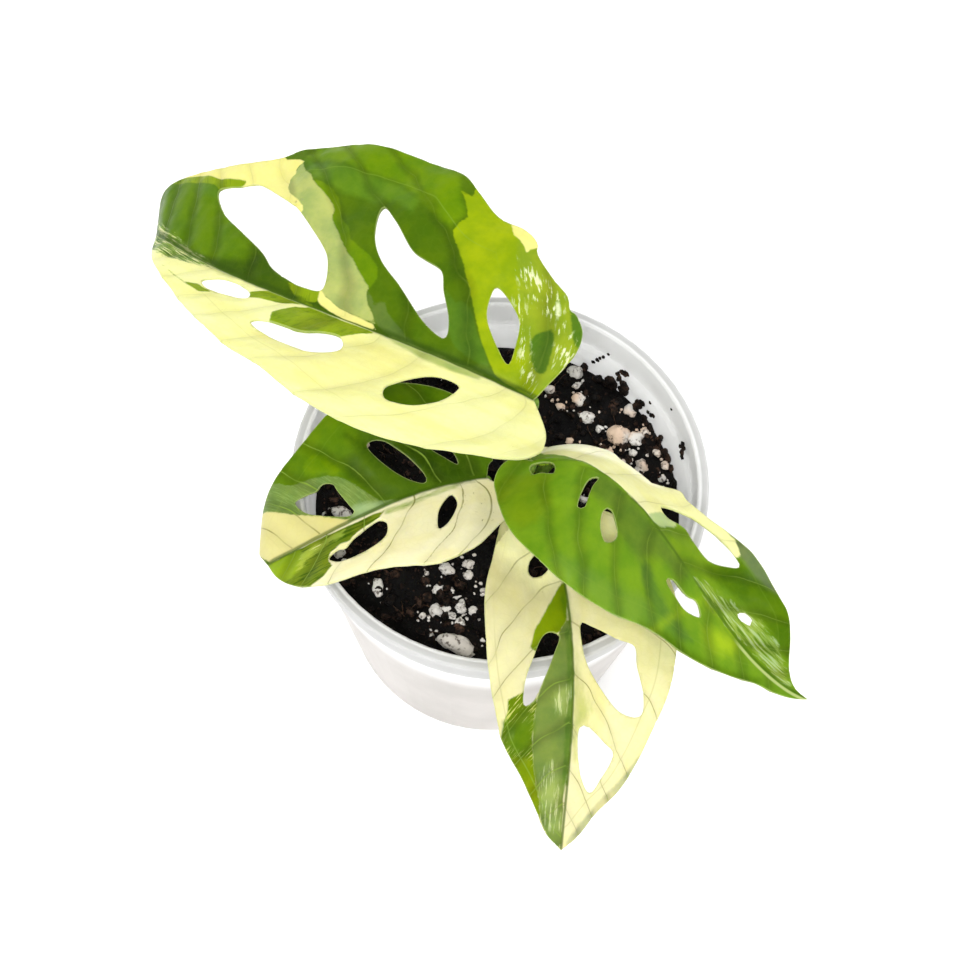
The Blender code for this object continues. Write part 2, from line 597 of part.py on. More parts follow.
def soil(parts, cutters):
    obj = link(bpy.data.objects.new("soil", soil_body()), parts)
    lumps = bpy.data.collections.new("lumps")
    bpy.context.scene.collection.children.link(lumps)
    perlite(lumps)
    union = obj.modifiers.new("lumps", "BOOLEAN")
    union.operation = "UNION"
    union.solver = "EXACT"
    union.operand_type = "COLLECTION"
    union.collection = lumps
    bpy.context.view_layer.update()
    fused = bpy.data.meshes.new_from_object(obj.evaluated_get(bpy.context.evaluated_depsgraph_get()))
    obj.modifiers.remove(union)
    obj.data = fused
    for piece in list(lumps.objects):
        bpy.data.objects.remove(piece)
    bpy.data.collections.remove(lumps)
    depth = POT_HEIGHT - STEM_HOLE_BOTTOM
    place = (STEM[0][0], STEM[0][1], STEM_HOLE_BOTTOM + depth / 2)
    cut(obj, cylinder("stem_hole", STEM_HOLE_RADIUS, depth, place, 16, cutters))
    fused.materials.clear()
    fused.materials.append(material("potting_mix", (0.018, 0.012, 0.009), 0.85))
    return obj


def main():
    for obj in list(bpy.data.objects):
        bpy.data.objects.remove(obj)
    parts = bpy.data.collections.new("monstera_adansonii")
    cutters = bpy.data.collections.new("cutters")
    for collection in (parts, cutters):
        bpy.context.scene.collection.children.link(collection)
    pot(parts, cutters)
    soil(parts, cutters)
    tube("stem", STEM, parts, material("stem_green", (0.13, 0.24, 0.05), 0.5))
    stalk_green = material("stalk_green", (0.20, 0.36, 0.07), 0.45)
    for name, knots in STALKS.items():
        tube(name, knots, parts, stalk_green.copy())
    for name, shape in LEAVES.items():
        leaf(name, shape, parts)


main()
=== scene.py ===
"""Finish for the variegated monstera adansonii in its milky nursery pot.

Lengths in the tables are millimetres in the model's frame. Each blade is drawn flat, as distance
along its midrib and distance across it, then bent into place with the same rule as its solid.
"""
import math
import random

import bmesh
import bpy
import numpy as np
from mathutils import Matrix, Vector, noise


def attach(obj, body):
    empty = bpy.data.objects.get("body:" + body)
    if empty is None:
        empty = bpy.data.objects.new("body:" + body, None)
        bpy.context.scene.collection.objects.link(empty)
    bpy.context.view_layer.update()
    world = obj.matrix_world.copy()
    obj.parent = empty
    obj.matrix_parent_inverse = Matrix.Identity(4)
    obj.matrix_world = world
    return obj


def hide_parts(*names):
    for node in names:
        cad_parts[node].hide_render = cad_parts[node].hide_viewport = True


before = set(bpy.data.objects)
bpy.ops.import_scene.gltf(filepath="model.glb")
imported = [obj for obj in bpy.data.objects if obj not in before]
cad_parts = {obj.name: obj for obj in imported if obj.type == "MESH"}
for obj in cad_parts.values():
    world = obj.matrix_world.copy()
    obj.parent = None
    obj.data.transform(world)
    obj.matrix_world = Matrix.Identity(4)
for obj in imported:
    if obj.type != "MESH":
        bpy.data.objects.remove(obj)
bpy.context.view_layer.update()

MM = 0.001
UP = Vector((0, 0, 1))

# Camera, as worked out from the pot's rim and base
VIEW_PITCH = math.radians(63.5126)
VIEW_ROLL = math.radians(3.7871)
VIEW_PLACE = (-4.811, -158.123, 392.253)
VIEW_LENS = 55.0

# Lamps, as name, place, size and power, and the point in metres that they face
LAMPS = (("key", (-0.1, -0.5, 1.0), 0.3, 8.4), ("fill", (0.7, 0.3, 0.8), 0.9, 1.3))
LAMP_AIM = (0, 0, 0.09)
SKY_POWER = 1.06

# Share of the light that a surface returns where its tint is full white
LIGHT_RETURNED = 0.61
PERLITE_RETURNED = 0.7
ALL_RETURNED = 1.0

# Pot and soil
COLLAR_BOTTOM = 71.0
LIP_REACH = 46.9
BODY_TOP_RADIUS = 47.6
BASE_RADIUS = 39.5
WALL = 1.25
FLOOR = 1.5
GAP = 0.35
SOIL_LEVEL = 63.0
SOIL_RELIEF = 1.5
SOIL_EDGE = 1.5
MOUND_HEIGHT = 1.2
MOUND_SPREAD = 300.0
SOIL_TURN_STEPS = 150
SOIL_RING_STEP = 1.6
SOIL_SEED = 5
PERLITE_SEED = 11

# Lumps, bits, crumbs and strands: how many, how big, and their room from the wall and the stem
PERLITE_COUNT = 20
PERLITE_SIZES = (0.9, 2.2)
PERLITE_ROOM = 0.6
PERLITE_WALL_ROOM = 4.5
PERLITE_STEM_ROOM = 5.1
PERLITE_BITS = 3
BIT_SIZES = (0.25, 0.65)
BIT_WALL_ROOM = 1.5
BIT_STEM_ROOM = 3.6
CRUMB_COUNT = 2400
CRUMB_SMALLEST = 0.3
CRUMB_SPREAD = 1.3
CRUMB_WALL_ROOM = 1.8
CRUMB_STEM_ROOM = 3.4
FIBRE_COUNT = 90
FIBRE_RADIUS = 0.11
FIBRE_WALL_ROOM = 3.0
FIBRE_STEM_ROOM = 3.8
LUMP_DETAIL = 3
CRUMB_DETAIL = 1
LUMP_COARSE = 0.5
LUMP_FINE = 0.26

# Perlite lumps that show, as x, y, half width and half depth
SEEN_LUMPS = (
    (-27.5, -25.4, 1.3, 2.2), (-11.4, -19.3, 1.9, 1.5), (-6.3, -17.1, 1.5, 1.2), (-6.1, -20.0, 1.3, 1.2),
    (-13.1, -24.7, 1.5, 1.2), (-16.2, -20.3, 0.6, 0.6), (-13.2, -29.8, 1.6, 1.8), (-10.7, -29.4, 1.0, 1.0),
    (-7.4, -28.8, 1.3, 1.6), (-4.5, -29.5, 1.1, 1.0), (-8.8, -26.4, 1.3, 0.5), (-9.6, -31.2, 1.6, 0.9),
    (-7.4, -32.6, 1.2, 1.2), (-16.4, -31.5, 0.8, 0.8), (-14.0, -36.2, 0.7, 0.9), (-8.0, -38.4, 4.3, 2.2),
    (-1.7, -37.0, 0.6, 0.6), (-2.0, -24.1, 1.0, 1.0), (18.2, 39.1, 2.0, 1.7), (18.7, 34.8, 1.2, 1.0),
    (19.2, 30.6, 1.7, 1.6), (14.6, 28.5, 1.2, 1.0), (11.5, 32.3, 1.3, 1.2), (21.6, 25.6, 2.1, 1.7),
    (24.8, 22.5, 1.0, 1.0), (29.5, 20.6, 2.6, 2.6), (34.0, 20.4, 2.2, 2.0), (36.4, 22.5, 1.1, 1.1),
    (32.6, 28.8, 1.6, 1.6), (35.7, 12.8, 2.0, 2.0), (33.5, 16.4, 1.1, 0.9), (39.7, 16.7, 1.1, 1.1),
    (41.6, 12.8, 1.1, 1.1), (40.9, 9.6, 1.0, 1.0), (27.4, 15.8, 1.1, 0.9), (30.5, 12.8, 1.1, 1.0),
    (17.0, 18.2, 1.1, 0.9), (-38.2, -6.1, 2.4, 1.6), (-37.8, -17.0, 1.5, 1.1),
)

# Dark clumps at the soil's edge and on the pot's inner wall, as x, y, z and radius
WALL_CLUMPS = (
    (22.3, 39.7, 67.7, 0.55), (23.2, 39.4, 69.4, 0.6), (23.8, 39.3, 70.6, 0.5), (24.7, 39.2, 71.8, 0.55),
    (25.8, 38.7, 73.8, 0.5), (29.9, 34.9, 71.7, 1.0), (30.7, 34.5, 72.0, 0.8), (28.6, 35.4, 69.7, 0.9),
    (29.0, 34.7, 68.5, 1.1), (28.2, 36.6, 66.4, 2.0), (36.8, 27.3, 70.1, 0.5), (37.5, 25.5, 67.2, 0.75),
    (36.8, 26.7, 66.5, 0.5), (38.0, 25.1, 67.4, 0.5), (41.3, 21.7, 77.5, 0.4), (44.3, 13.3, 75.4, 0.8),
    (44.5, 12.4, 75.1, 0.9), (44.5, 12.2, 73.3, 0.9), (44.8, 11.4, 72.2, 0.7), (44.2, 14.0, 73.0, 0.6),
    (34.4, 28.7, 66.7, 1.3), (35.1, 28.5, 67.7, 1.0), (33.9, 28.9, 64.8, 1.4), (30.3, 33.1, 68.3, 1.5),
    (24.5, 37.3, 63.9, 1.1), (42.1, 14.6, 65.1, 1.4), (39.8, 19.8, 63.5, 1.3), (37.6, 24.0, 64.1, 1.2),
    (26.2, 35.9, 63.4, 1.3), (27.9, 34.6, 64.8, 1.5), (36.1, 26.2, 64.2, 1.3), (43.0, 12.1, 64.5, 1.2),
    (24.6, 38.1, 63.5, 1.8), (31.5, 33.7, 66.0, 1.6), (38.4, 24.4, 64.0, 1.7), (42.4, 16.6, 64.5, 1.5),
    (20.6, 40.4, 65.0, 1.4), (45.0, 8.0, 64.5, 1.5), (40.8, 20.2, 65.4, 1.3),
)

# Vine stem, as x, y, z and radius
STEM = (
    (2.0, 4.0, 30.0, 2.9), (2.0, 4.0, 50.0, 3.0), (2.0, 4.0, 64.0, 2.9), (2.3, 4.0, 68.0, 3.2),
    (2.8, 4.0, 71.5, 2.8), (3.3, 3.9, 74.5, 3.1), (3.8, 3.5, 78.0, 2.6), (4.0, 3.2, 81.0, 2.5),
)

# Leaf stalks from inside the stem to inside the blade's base, as x, y, z and radius
STALKS = {
    "petiole_top": (
        (4.0, 3.1, 79.5, 2.0), (4.1, 3.0, 82.5, 2.15), (4.4, 3.0, 87.0, 1.75), (4.6, 2.6, 93.0, 1.5),
        (4.7, 2.2, 99.0, 1.45), (4.8, 0.2, 110.0, 1.4), (5.2, -1.4, 115.0, 1.65), (5.5, -2.5, 119.3, 1.2),
    ),
    "petiole_right": (
        (3.2, 1.6, 73.0, 1.9), (3.2, -0.4, 74.0, 1.8), (3.0, -3.3, 76.2, 1.5), (2.7, -5.4, 82.0, 1.4),
        (3.2, -7.0, 90.0, 1.3), (4.6, -7.7, 94.6, 1.5), (6.2, -7.7, 98.2, 1.5), (6.7, -7.4, 100.3, 1.0),
    ),
    "petiole_left": (
        (1.6, 2.6, 66.6, 1.8), (-0.2, 0.9, 67.5, 1.7), (-1.9, -1.3, 69.2, 1.45), (-2.6, -3.4, 74.0, 1.3),
        (-3.0, -5.4, 80.5, 1.3), (-3.1, -6.1, 84.6, 1.5), (-3.2, -6.4, 88.3, 1.0),
    ),
    "petiole_front": (
        (4.4, 3.2, 70.2, 1.9), (7.0, 2.3, 71.2, 1.75), (9.1, 2.0, 73.2, 1.6), (10.4, 2.4, 78.8, 1.5),
        (12.4, 2.0, 83.3, 1.4), (14.2, -1.8, 85.6, 1.3), (14.0, -9.0, 85.3, 1.4), (12.7, -15.4, 83.4, 1.35),
        (12.5, -17.2, 84.4, 0.9),
    ),
}
STALK_STEP = 0.9

# Blades
CELL = 0.85
EDGE_STEP = 0.8
BLADE_THICKNESS = 0.6
RIB_THICKNESS = 1.8
RIB_SPREAD = 0.95
VEIN_RIDGE = 0.12
VEIN_TILT = 0.8
BLADE_GRAIN = 0.18
CREASE_RADIUS = 0.8
CREASE_FILL = 0.25
COLLAR_START = 20.0
COLLAR_END = 76.0
QUILT_HEIGHT = 0.55
QUILT_SPREAD = 2.2
EDGE_WAVE = 0.7
EDGE_WAVE_LENGTH = 4.2
EDGE_WAVE_LEAN = 9.0
EDGE_WAVE_REACH = 25.0
HOOK_LIMIT = 2.0
FLAT_UNIT = 0.01

# Side veins of each half, as start along the midrib, lean and curve, from the stalk to the tip, and
# how far in the collar vein runs from the right and left margins
VEINS = {
    "leaf_top": {
        "right": (
            (-4, -0.8, 0.012), (2.5, -0.1, 0.016), (16.5, 0.3, 0.016), (31, 0.35, 0.016), (46, 0.35, 0.016),
            (60, 0.4, 0.016), (73, 0.45, 0.016), (86, 0.5, 0.016), (97, 0.5, 0.018), (108, 0.5, 0.02),
        ),
        "left": (
            (2, -0.5, 0.0165), (6, 0.1, 0.008), (25.4, -0.2, 0.014), (36, 0, 0.014), (48, 0.1, 0.014),
            (60, 0.2, 0.015), (72, 0.3, 0.016), (84, 0.4, 0.018), (96, 0.5, 0.02), (107, 0.5, 0.02),
        ),
        "collar": (8.5, 6.0),
    },
    "leaf_left": {
        "right": (
            (-4, -0.4, 0.012), (2.5, -0.05, 0.012), (10.5, 0.15, 0.018), (24, 0.25, 0.016),
            (33, 0.35, 0.016), (41, 0.4, 0.02), (48, 0.5, 0.02),
        ),
        "left": (
            (3, -0.5, 0.045), (6.5, 0.05, 0.028), (18.5, 0.2, 0.04), (30, 0.3, 0.04), (40, 0.4, 0.04),
            (48, 0.5, 0.04),
        ),
        "collar": (5.0, 2.3),
    },
    "leaf_right": {
        "right": (
            (-2, -0.1, 0.02), (4, 0.4, 0.02), (14, 0.4, 0.02), (25, 0.4, 0.025), (36, 0.3, 0.04),
            (46, 0.5, 0.03), (56, 0.6, 0.04), (66, 0.8, 0.05), (75, 0.8, 0.05),
        ),
        "left": (
            (0, -0.2, 0.01), (10, 0.2, 0.01), (20, 0.3, 0.01), (30, 0.5, 0.01), (38, 0.7, 0.02),
            (46, 1, 0.03), (56, 1.1, 0.03), (66, 1.2, 0.04), (75, 1.2, 0.04),
        ),
        "collar": (3.5, 3.0),
    },
    "leaf_front": {
        "right": (
            (3, 0.1, 0.035), (12, 0.1, 0.05), (24, 0.2, 0.04), (36, 0.3, 0.04), (47, 0.3, 0.04),
            (57, 0.4, 0.05), (66, 0.5, 0.05),
        ),
        "left": (
            (2, -0.1, 0.02), (12, 0.2, 0.03), (22, 0.6, 0.04), (34.5, 1.3, 0.06), (48, 1.4, 0.06),
            (58, 1.4, 0.08), (67, 1.4, 0.08),
        ),
        "collar": (2.0, 3.6),
    },
}

# Blades as drawn flat, each loop as distance along the midrib and across it. A fold is the upward angle
# of that half at shares of its length, a curl adds degrees for each 10 mm out, and a hook is the line's
# x, the y where it is measured, its slant and the radius that rolls the tip down
LEAVES = {
    "leaf_top": {
        "midrib": ((5.5, -2.7, 120), (-29.1, 9.6, 127.3), (-67.5, 25.4, 114.3), (-88.4, 51.1, 97)),
        "right_fold": ((0, 18), (1, 10)),
        "left_fold": ((0, 32), (1, 24)),
        "right_curl": -3,
        "left_curl": 0,
        "hook": (-83.0, 51.0, 0.12, 6.0),
        "right_edge": (
            (0, 0), (-1, 4), (-2.2, 8.3), (-3.1, 13.3), (-2.2, 17.8), (0.9, 20.9), (3, 21.6),
            (5.3, 24.5), (10.7, 27.2), (15.5, 30.1), (17.1, 32.6), (21.4, 34.8), (28.6, 36.2),
            (35.7, 40), (41.7, 43.1), (51.3, 44.6), (60, 44.7), (70.7, 43.5), (78.4, 40.9),
            (85.4, 37.3), (90, 32.3), (100, 26.1), (111, 20.6), (116.5, 16.8), (120.5, 13), (124, 8.5),
            (125, 4), (123, 0),
        ),
        "left_edge": (
            (0, 0), (-3.7, -4), (-8.6, -10), (-11.2, -15), (-12, -18.4), (-11.3, -22.5), (-8.8, -26),
            (-3.5, -30), (3.2, -33.6), (14, -37), (23.7, -37), (32, -34), (44.5, -29.2), (51, -27.2),
            (57.6, -25), (70.6, -20.2), (86.4, -13.6), (97, -9.8), (108, -5.8), (116, -2.5), (123, 0),
        ),
        "holes": (
            (
                (100.3, 17.5), (95, 21), (89.5, 24), (79.3, 22.4), (72.3, 20.6), (61.9, 15.1),
                (57.3, 11.1), (54.7, 5), (58.4, 3.7), (63.7, 4), (69.6, 5.3), (75, 8), (84.5, 10.7),
                (94.3, 13.4),
            ),
            (
                (54.2, 29), (48, 25.6), (40.8, 20.8), (33, 18.9), (29.3, 14.1), (25, 8.6), (23.8, 4.4),
                (29.8, 6.2), (39.3, 12.2), (46.3, 16.2), (51, 21.3),
            ),
            (
                (19.3, 19.5), (19.4, 16.2), (17.3, 11.6), (11.2, 6.1), (8.6, 4.8), (9.2, 8.6),
                (11, 13.9), (14.5, 17.2),
            ),
            (
                (82.2, -6), (78.5, -2.2), (71.5, -2.3), (67.9, -5.8), (72, -8), (79, -8.4),
            ),
            (
                (59.7, -13.7), (57.5, -11.2), (49.5, -10.3), (45.5, -7.5), (41.6, -7.1), (38.1, -12.3),
                (41.6, -17.4), (49.2, -17.4), (57, -15.8),
            ),
            (
                (22.3, -20.1), (22.6, -16), (20.2, -8.9), (16.2, -6.5), (12.8, -8), (11.8, -15.7),
                (14, -22.3), (18.8, -24.5),
            ),
        ),
        "patches": (
            ("bright", (
                (82.5, 35.7), (82.1, 40), (76.8, 44), (65.6, 44.4), (60.2, 44.9), (55.2, 45.7),
                (49.5, 45.2), (42.2, 42.4), (38.9, 37.7), (37.1, 35.7), (35.4, 33.7), (36.1, 31.4),
                (36.8, 29.4), (39.5, 29.7), (43, 31.4), (46.9, 33.4), (54.6, 36.5), (60.1, 36.4),
                (65.7, 36.3), (70.2, 36.3), (76.5, 35.7), (81, 34.7),
            )),
            ("blue", (
                (82.4, 34.7), (75.9, 35), (69.6, 35.4), (65.2, 35.6), (59.6, 35.7), (54, 35.6),
                (46.3, 32.6), (45.9, 28.7), (51.3, 30.9), (55, 31.1), (55.7, 29.2), (58.2, 29.5),
                (62.3, 29.3), (64.8, 28.8), (68.1, 29.3), (72.7, 30.1), (75.3, 30.1),
            )),
            ("dusk", (
                (25.5, 12.7), (24.5, 13.5), (22.3, 12.9), (20.1, 10.8), (17.7, 8), (14.8, 5.5),
                (11.7, 2.4), (13.9, 2.1), (17.9, 2.8), (20.6, 3.4), (22.7, 5), (24.5, 7.5),
                (29.2, 14.6),
            )),
            ("blue", (
                (111.3, 15.9), (101.6, 18.2), (98.2, 15.5), (104, 14.8), (109.2, 14.6),
            )),
            ("dusk", (
                (6.6, 13.2), (5.9, 14.1), (4.1, 15.7), (3.1, 14.8), (2, 12.8), (1.5, 10.5), (0.9, 8.1),
                (0.7, 6.4), (1.3, 5.7), (2.7, 5.7), (4.8, 7.7), (6.1, 9.6), (6.8, 11.3),
            )),
            ("dusk", (
                (3.2, 21.8), (0, 20.8), (-3, 18.4), (-4, 14.2), (-1.8, 14.7), (0.2, 17.5),
            )),
            ("fleck", (
                (18.7, 28.8), (15.3, 27), (11, 25.4), (6.3, 23.6), (4, 20.9), (5.5, 18.2), (9.5, 19.4),
                (13.1, 21), (16.6, 23.6),
            )),
            ("fleck", (
                (3.4, 17.4), (1.6, 18.4), (-1.6, 15), (-3.4, 12), (-3, 8), (-0.6, 8.2), (1.6, 13),
            )),
            ("fleck", (
                (14.8, 20.2), (11.5, 17.6), (7.8, 11.4), (1.6, 3.1), (1, 0.4), (5.6, 4.9), (11, 12.6),
                (14.6, 17.9),
            )),
            ("grey", (
                (44.8, 8), (43, 7.1), (41.1, 5.1), (40.7, 6.6), (39.4, 6.6), (37.6, 4.7), (34.5, 3.3),
                (32.4, 2.1), (29.6, 1), (27.8, 0.5), (32, 0), (36, 0.7), (38.9, 1.8), (41.2, 4),
                (42.9, 5.2),
            )),
            ("lime", (
                (77.9, 31.7), (74.8, 29.5), (72.2, 29.6), (68.4, 28.9), (65.5, 27.3), (63.4, 25),
                (62.2, 23.3), (58.2, 21.1), (55.6, 18.2), (51.6, 16.7), (49, 16), (45.8, 14.1),
                (44.3, 11.7), (44.3, 9.5), (44.6, 8), (47.1, 10.3), (49.7, 12), (52.1, 13.8),
                (54.6, 15.1), (57.9, 17.5), (59.7, 19.1), (62.7, 21.2), (64.2, 22.5), (64.7, 24.4),
                (66.6, 25.9), (69.4, 27), (72.2, 28), (74.9, 29.2), (76.4, 30.6),
            )),
            ("sage", (
                (82.7, 33.8), (79.4, 31.5), (76.4, 30.6), (74.9, 29.2), (72.2, 28), (69.4, 27),
                (66.6, 25.9), (64.7, 24.4), (64.2, 22.5), (62.7, 21.2), (59.7, 19.1), (57.9, 17.5),
                (54.6, 15.1), (52.1, 13.8), (49.7, 12), (47.1, 10.3), (44.5, 8.6), (44.6, 7.5),
                (42.5, 4.9), (40.7, 3.7), (38.8, 1.6), (45.5, 1.8), (49.7, 2.3), (52.7, 3.3), (55, 4.3),
                (56.1, 6.9), (59.4, 11.8), (64.5, 16), (69, 18.1), (72.4, 19.9), (78, 22.7),
                (80.6, 24.8), (81.9, 27.4), (82.2, 30.8),
            )),
            ("cream", (
                (122.8, 12.5), (121.5, 16.1), (115.1, 22.3), (102.4, 28), (94.2, 32.9), (89.8, 33.6),
                (87.7, 32.9), (84, 34.1), (82.2, 34), (82.6, 32.5), (82.5, 31.1), (81.4, 30),
                (81.8, 28.1), (80.5, 25.5), (78.6, 24.2), (74.8, 23.1), (72, 21.8), (71.6, 20.5),
                (75.1, 20), (84.2, 22.3), (92.3, 22.5), (95.2, 20.5), (97.2, 21.2), (102, 20.3),
                (111.9, 18.4), (119.3, 14.7),
            )),
            ("cream", (
                (55.8, 4.3), (54.6, 4.5), (52.7, 3.3), (49.7, 2.3), (45.5, 1.8), (39.4, 1.4),
                (38.2, 0.5), (39.5, 0.3), (45.8, 0.1), (50, 0.6), (53.1, 1.3), (54.4, 2.1),
            )),
            ("cream", (
                (25.6, 35.9), (22, 35.8), (17.8, 33.7), (16, 31.8), (17.6, 30.4), (17.6, 29),
                (19.1, 30.5), (20.7, 31.6), (22.7, 32.4),
            )),
            ("gleam", (
                (6.9, 22.6), (5.9, 22.2), (4.2, 19.8), (4.3, 18.3), (5.4, 19.7), (6.4, 21.5),
            )),
            ("chart", (
                (37.3, 42.1), (36.3, 38.1), (39, 38.2), (36.9, 36.3), (35.4, 34.6), (34.4, 32.8),
                (35.4, 31.2), (35.5, 29.7), (35.7, 28.8), (34.8, 27.5), (32.1, 25.1), (29.4, 22.4),
                (26.4, 18.9), (24.3, 16.6), (21.3, 12.9), (18.2, 9.1), (15.4, 6), (12, 3), (10, 1.4),
                (7.3, 0.7), (2.2, 0.2), (-0.4, 0), (-2.5, 2.6), (-3.7, 9.4), (-4.8, 16.2), (-3.6, 19.4),
                (0, 22.9), (7.2, 26.8), (13.9, 30.2), (17.2, 34), (22.7, 36.9), (28.6, 38.5),
                (33.8, 41.2),
            )),
            ("olive", (
                (21.4, 32.3), (19.2, 33.1), (17.2, 32.6), (13.9, 30.2), (7.2, 26.8), (-2.7, 20.2),
                (-4.8, 16.2), (-3.7, 9.4), (-1.7, 1.9), (1.1, 2.6), (4.3, 5.4), (9.9, 13), (13.8, 19.2),
                (17.3, 25.1),
            )),
            ("moss", (
                (124, 11.2), (119.3, 14.7), (111.9, 18.4), (107.5, 19.5), (102, 20.3), (94.4, 23.1),
                (93.8, 22.4), (95.4, 19.5), (99.9, 17.6), (102.5, 18.2), (109.5, 16.8), (117.6, 13.6),
            )),
            ("moss", (
                (63.4, 3.4), (60.6, 4.4), (55.4, 4.9), (53.8, 1.5), (54.9, 1.1), (58.2, 0.7),
                (60.6, 1.4),
            )),
            ("streak", (
                (124, 0), (124, 3), (118, 2.6), (110, 2.5), (100, 1.5), (92, 1), (84, 0.4), (84, 0),
            )),
            ("tip", (
                (124, 14), (112, 22), (100, 26), (90, 24), (88, 12), (80, 9), (78, 0), (124, 0),
            )),
            ("deep", (
                (92, 0), (86, 2), (77.5, 4.2), (75.9, 7.6), (74.5, 9.2), (67.1, 4.6), (62.1, 3),
                (55.5, 2.4), (44, 1), (20, 1.2), (4, 1.5), (0, 0),
            )),
            ("moss", (
                (70, -3.8), (66.4, 0), (62.3, 0), (57.9, 0), (54.6, 0), (57.2, -0.7), (59.8, -2.6),
                (64.8, -4.6), (68.3, -5.7),
            )),
            ("moss", (
                (58.9, -8), (58.3, -6.1), (57, -2.6), (54.4, 0), (50.6, -0.4), (45.3, -0.6),
                (38.4, -0.2), (37.9, -1), (41.7, -7.2), (45, -7.8), (49.4, -10.6), (51.5, -11.3),
                (53.8, -11), (56.7, -11.8),
            )),
            ("streak", (
                (84, 0), (92, -3.5), (100, -5), (110, -5), (119, -3.5), (122, -1.5), (124, 0),
            )),
            ("moss", (
                (95.9, -8.3), (89.1, -9.3), (84.1, -10.3), (81.4, -8.6), (76.1, -9.1), (78.9, -10.9),
                (82.5, -10.8),
            )),
            ("gold", (
                (57.3, -17.2), (48.2, -12.2), (40.1, -7.7), (29.9, -3.2), (19, -5.4), (22.9, -13.8),
                (21.8, -22.3), (27.4, -27.5), (37.2, -26.8), (46, -24.4),
            )),
            ("greylow", (
                (34.5, 0), (27.1, 0), (20, 0), (12.4, 0), (12, -2.1), (17.6, -3.7), (25.1, -3.1),
                (33.1, -1.2),
            )),
        ),
    },
    "leaf_left": {
        "midrib": ((-3.2, -6.4, 89), (-20.6, -10.8, 91.9), (-36.5, -24.1, 92.5), (-51.4, -27.8, 81)),
        "right_fold": ((0, 16), (1, 10)),
        "left_fold": ((0, 14), (0.5, 26), (1, 22)),
        "right_curl": -3,
        "left_curl": 0,
        "hook": (-50.0, -28.0, 0.0, 5.5),
        "right_edge": (
            (0, 0), (-1.5, 2.9), (-3.2, 4.3), (-4.2, 9), (-4, 15), (-1, 20.5), (5, 24.8), (12, 27.3),
            (20, 28), (29.7, 26.2), (39, 21.8), (48.2, 17), (54, 13.4), (58, 10.5), (59.5, 8),
            (58.5, 5), (57, 2), (56, -0.5),
        ),
        "left_edge": (
            (0, 0), (-1.5, -2), (-4, -5.5), (-4, -10), (0.9, -13.5), (8.4, -19.6), (15.7, -22.4),
            (19.5, -22.5), (29, -18.8), (32.8, -17.2), (42.6, -14.8), (49.4, -11.1), (52.6, -8.2),
            (54.9, -4.5), (56, -0.5),
        ),
        "holes": (
            (
                (23.7, 14.9), (20.2, 14.7), (16.5, 10.1), (13.8, 4.1), (14.6, 1.9), (18.5, 4.8),
                (22.2, 10.4),
            ),
            (
                (5.5, 4.3), (5.6, 7.7), (8.5, 11.5), (11.5, 13), (10.5, 9.8), (8.3, 7),
            ),
            (
                (44.1, 10.2), (40.6, 10.4), (38.5, 10.2), (36.6, 11), (34.4, 10), (33.7, 7.6),
                (32.3, 3.3), (31.9, 1.9), (33.3, 1.5), (36.4, 2.8), (40, 4.9), (42.9, 7.2),
            ),
            (
                (40.9, -7.4), (38.6, -6.2), (36.5, -6.8), (34.4, -5.4), (30.8, -4), (27.2, -3.4),
                (25.8, -5.6), (26.9, -9.2), (29.9, -10.7), (34.9, -11), (38.8, -10.2),
            ),
            (
                (9.5, -3.1), (9.2, -6.5), (12.5, -11.2), (15.3, -12.6), (14.1, -7.8), (11.8, -4.6),
            ),
        ),
        "patches": (
            ("bright", (
                (30.1, 29), (25.6, 21), (24.3, 16.5), (32.2, 17.3), (37.5, 20.7), (41.2, 25.1),
                (36.2, 28.1),
            )),
            ("dark", (
                (25.2, 22.1), (15.9, 14.1), (8.2, 8.4), (-0.2, 5), (0.2, 0.8), (6.7, 0), (14, 0),
                (21.2, 0.1), (25.3, 2.3), (30.2, 9), (29.6, 13.8), (24.1, 15.1),
            )),
            ("deep", (
                (27.4, 19), (23.7, 15.5), (16.1, 12.4), (8.2, 8.4), (5, 5), (4, 0), (12, 0),
                (14.3, 5.1), (20.8, 7.5), (25.6, 14.5),
            )),
            ("lime", (
                (39.4, 17.1), (36.4, 18.8), (33.5, 17.2), (33, 15.1), (31.5, 12.2), (32.8, 10.8),
                (35.1, 13), (39.7, 14.7),
            )),
            ("sage", (
                (53.5, 17.1), (54.7, 21.1), (61.2, 27.3), (43.9, 14.2), (41.4, 14), (35.3, 12.6),
                (32.2, 10.5), (30, 8.2), (27.5, 4.3), (25.5, 1.6), (20.8, 0), (25.2, 0), (32.1, 0),
                (35.5, 1.8), (40.1, 4.8), (44, 7), (49.6, 10.4), (55.1, 14.1),
            )),
            ("pale", (
                (32, 3.1), (27.8, 2.2), (23.1, 0.1), (26.4, 0), (31.3, 0), (33.4, 0.8),
            )),
            ("cream", (
                (55, 14.2), (49.6, 10.4), (44.9, 7.5), (40.1, 4.8), (35.5, 1.8), (32.1, 0), (36.5, 0),
                (44.1, 0), (49.5, 0.1), (55.1, 0.1), (59.5, 5.8),
            )),
            ("green", (
                (56.3, 0), (51, 0), (46.9, -0.2), (41.5, -0.3), (36.4, -0.7), (31.4, -1), (28.3, -0.9),
                (25, -1.2), (27.4, -3), (30.4, -3.5), (32.8, -4), (34.9, -5.4), (37.4, -5.3),
                (39.9, -6), (41.1, -7.9), (40.6, -10.3), (42.6, -12), (44.8, -12.4), (48.5, -12.9),
                (54.2, -7.5), (56.5, -2),
            )),
            ("tiplime", (
                (58, 0), (52, -0.4), (47, -0.4), (46.4, -3.6), (48.6, -6.6), (51, -7.6), (54.5, -7),
                (58, -2.4),
            )),
            ("streak", (
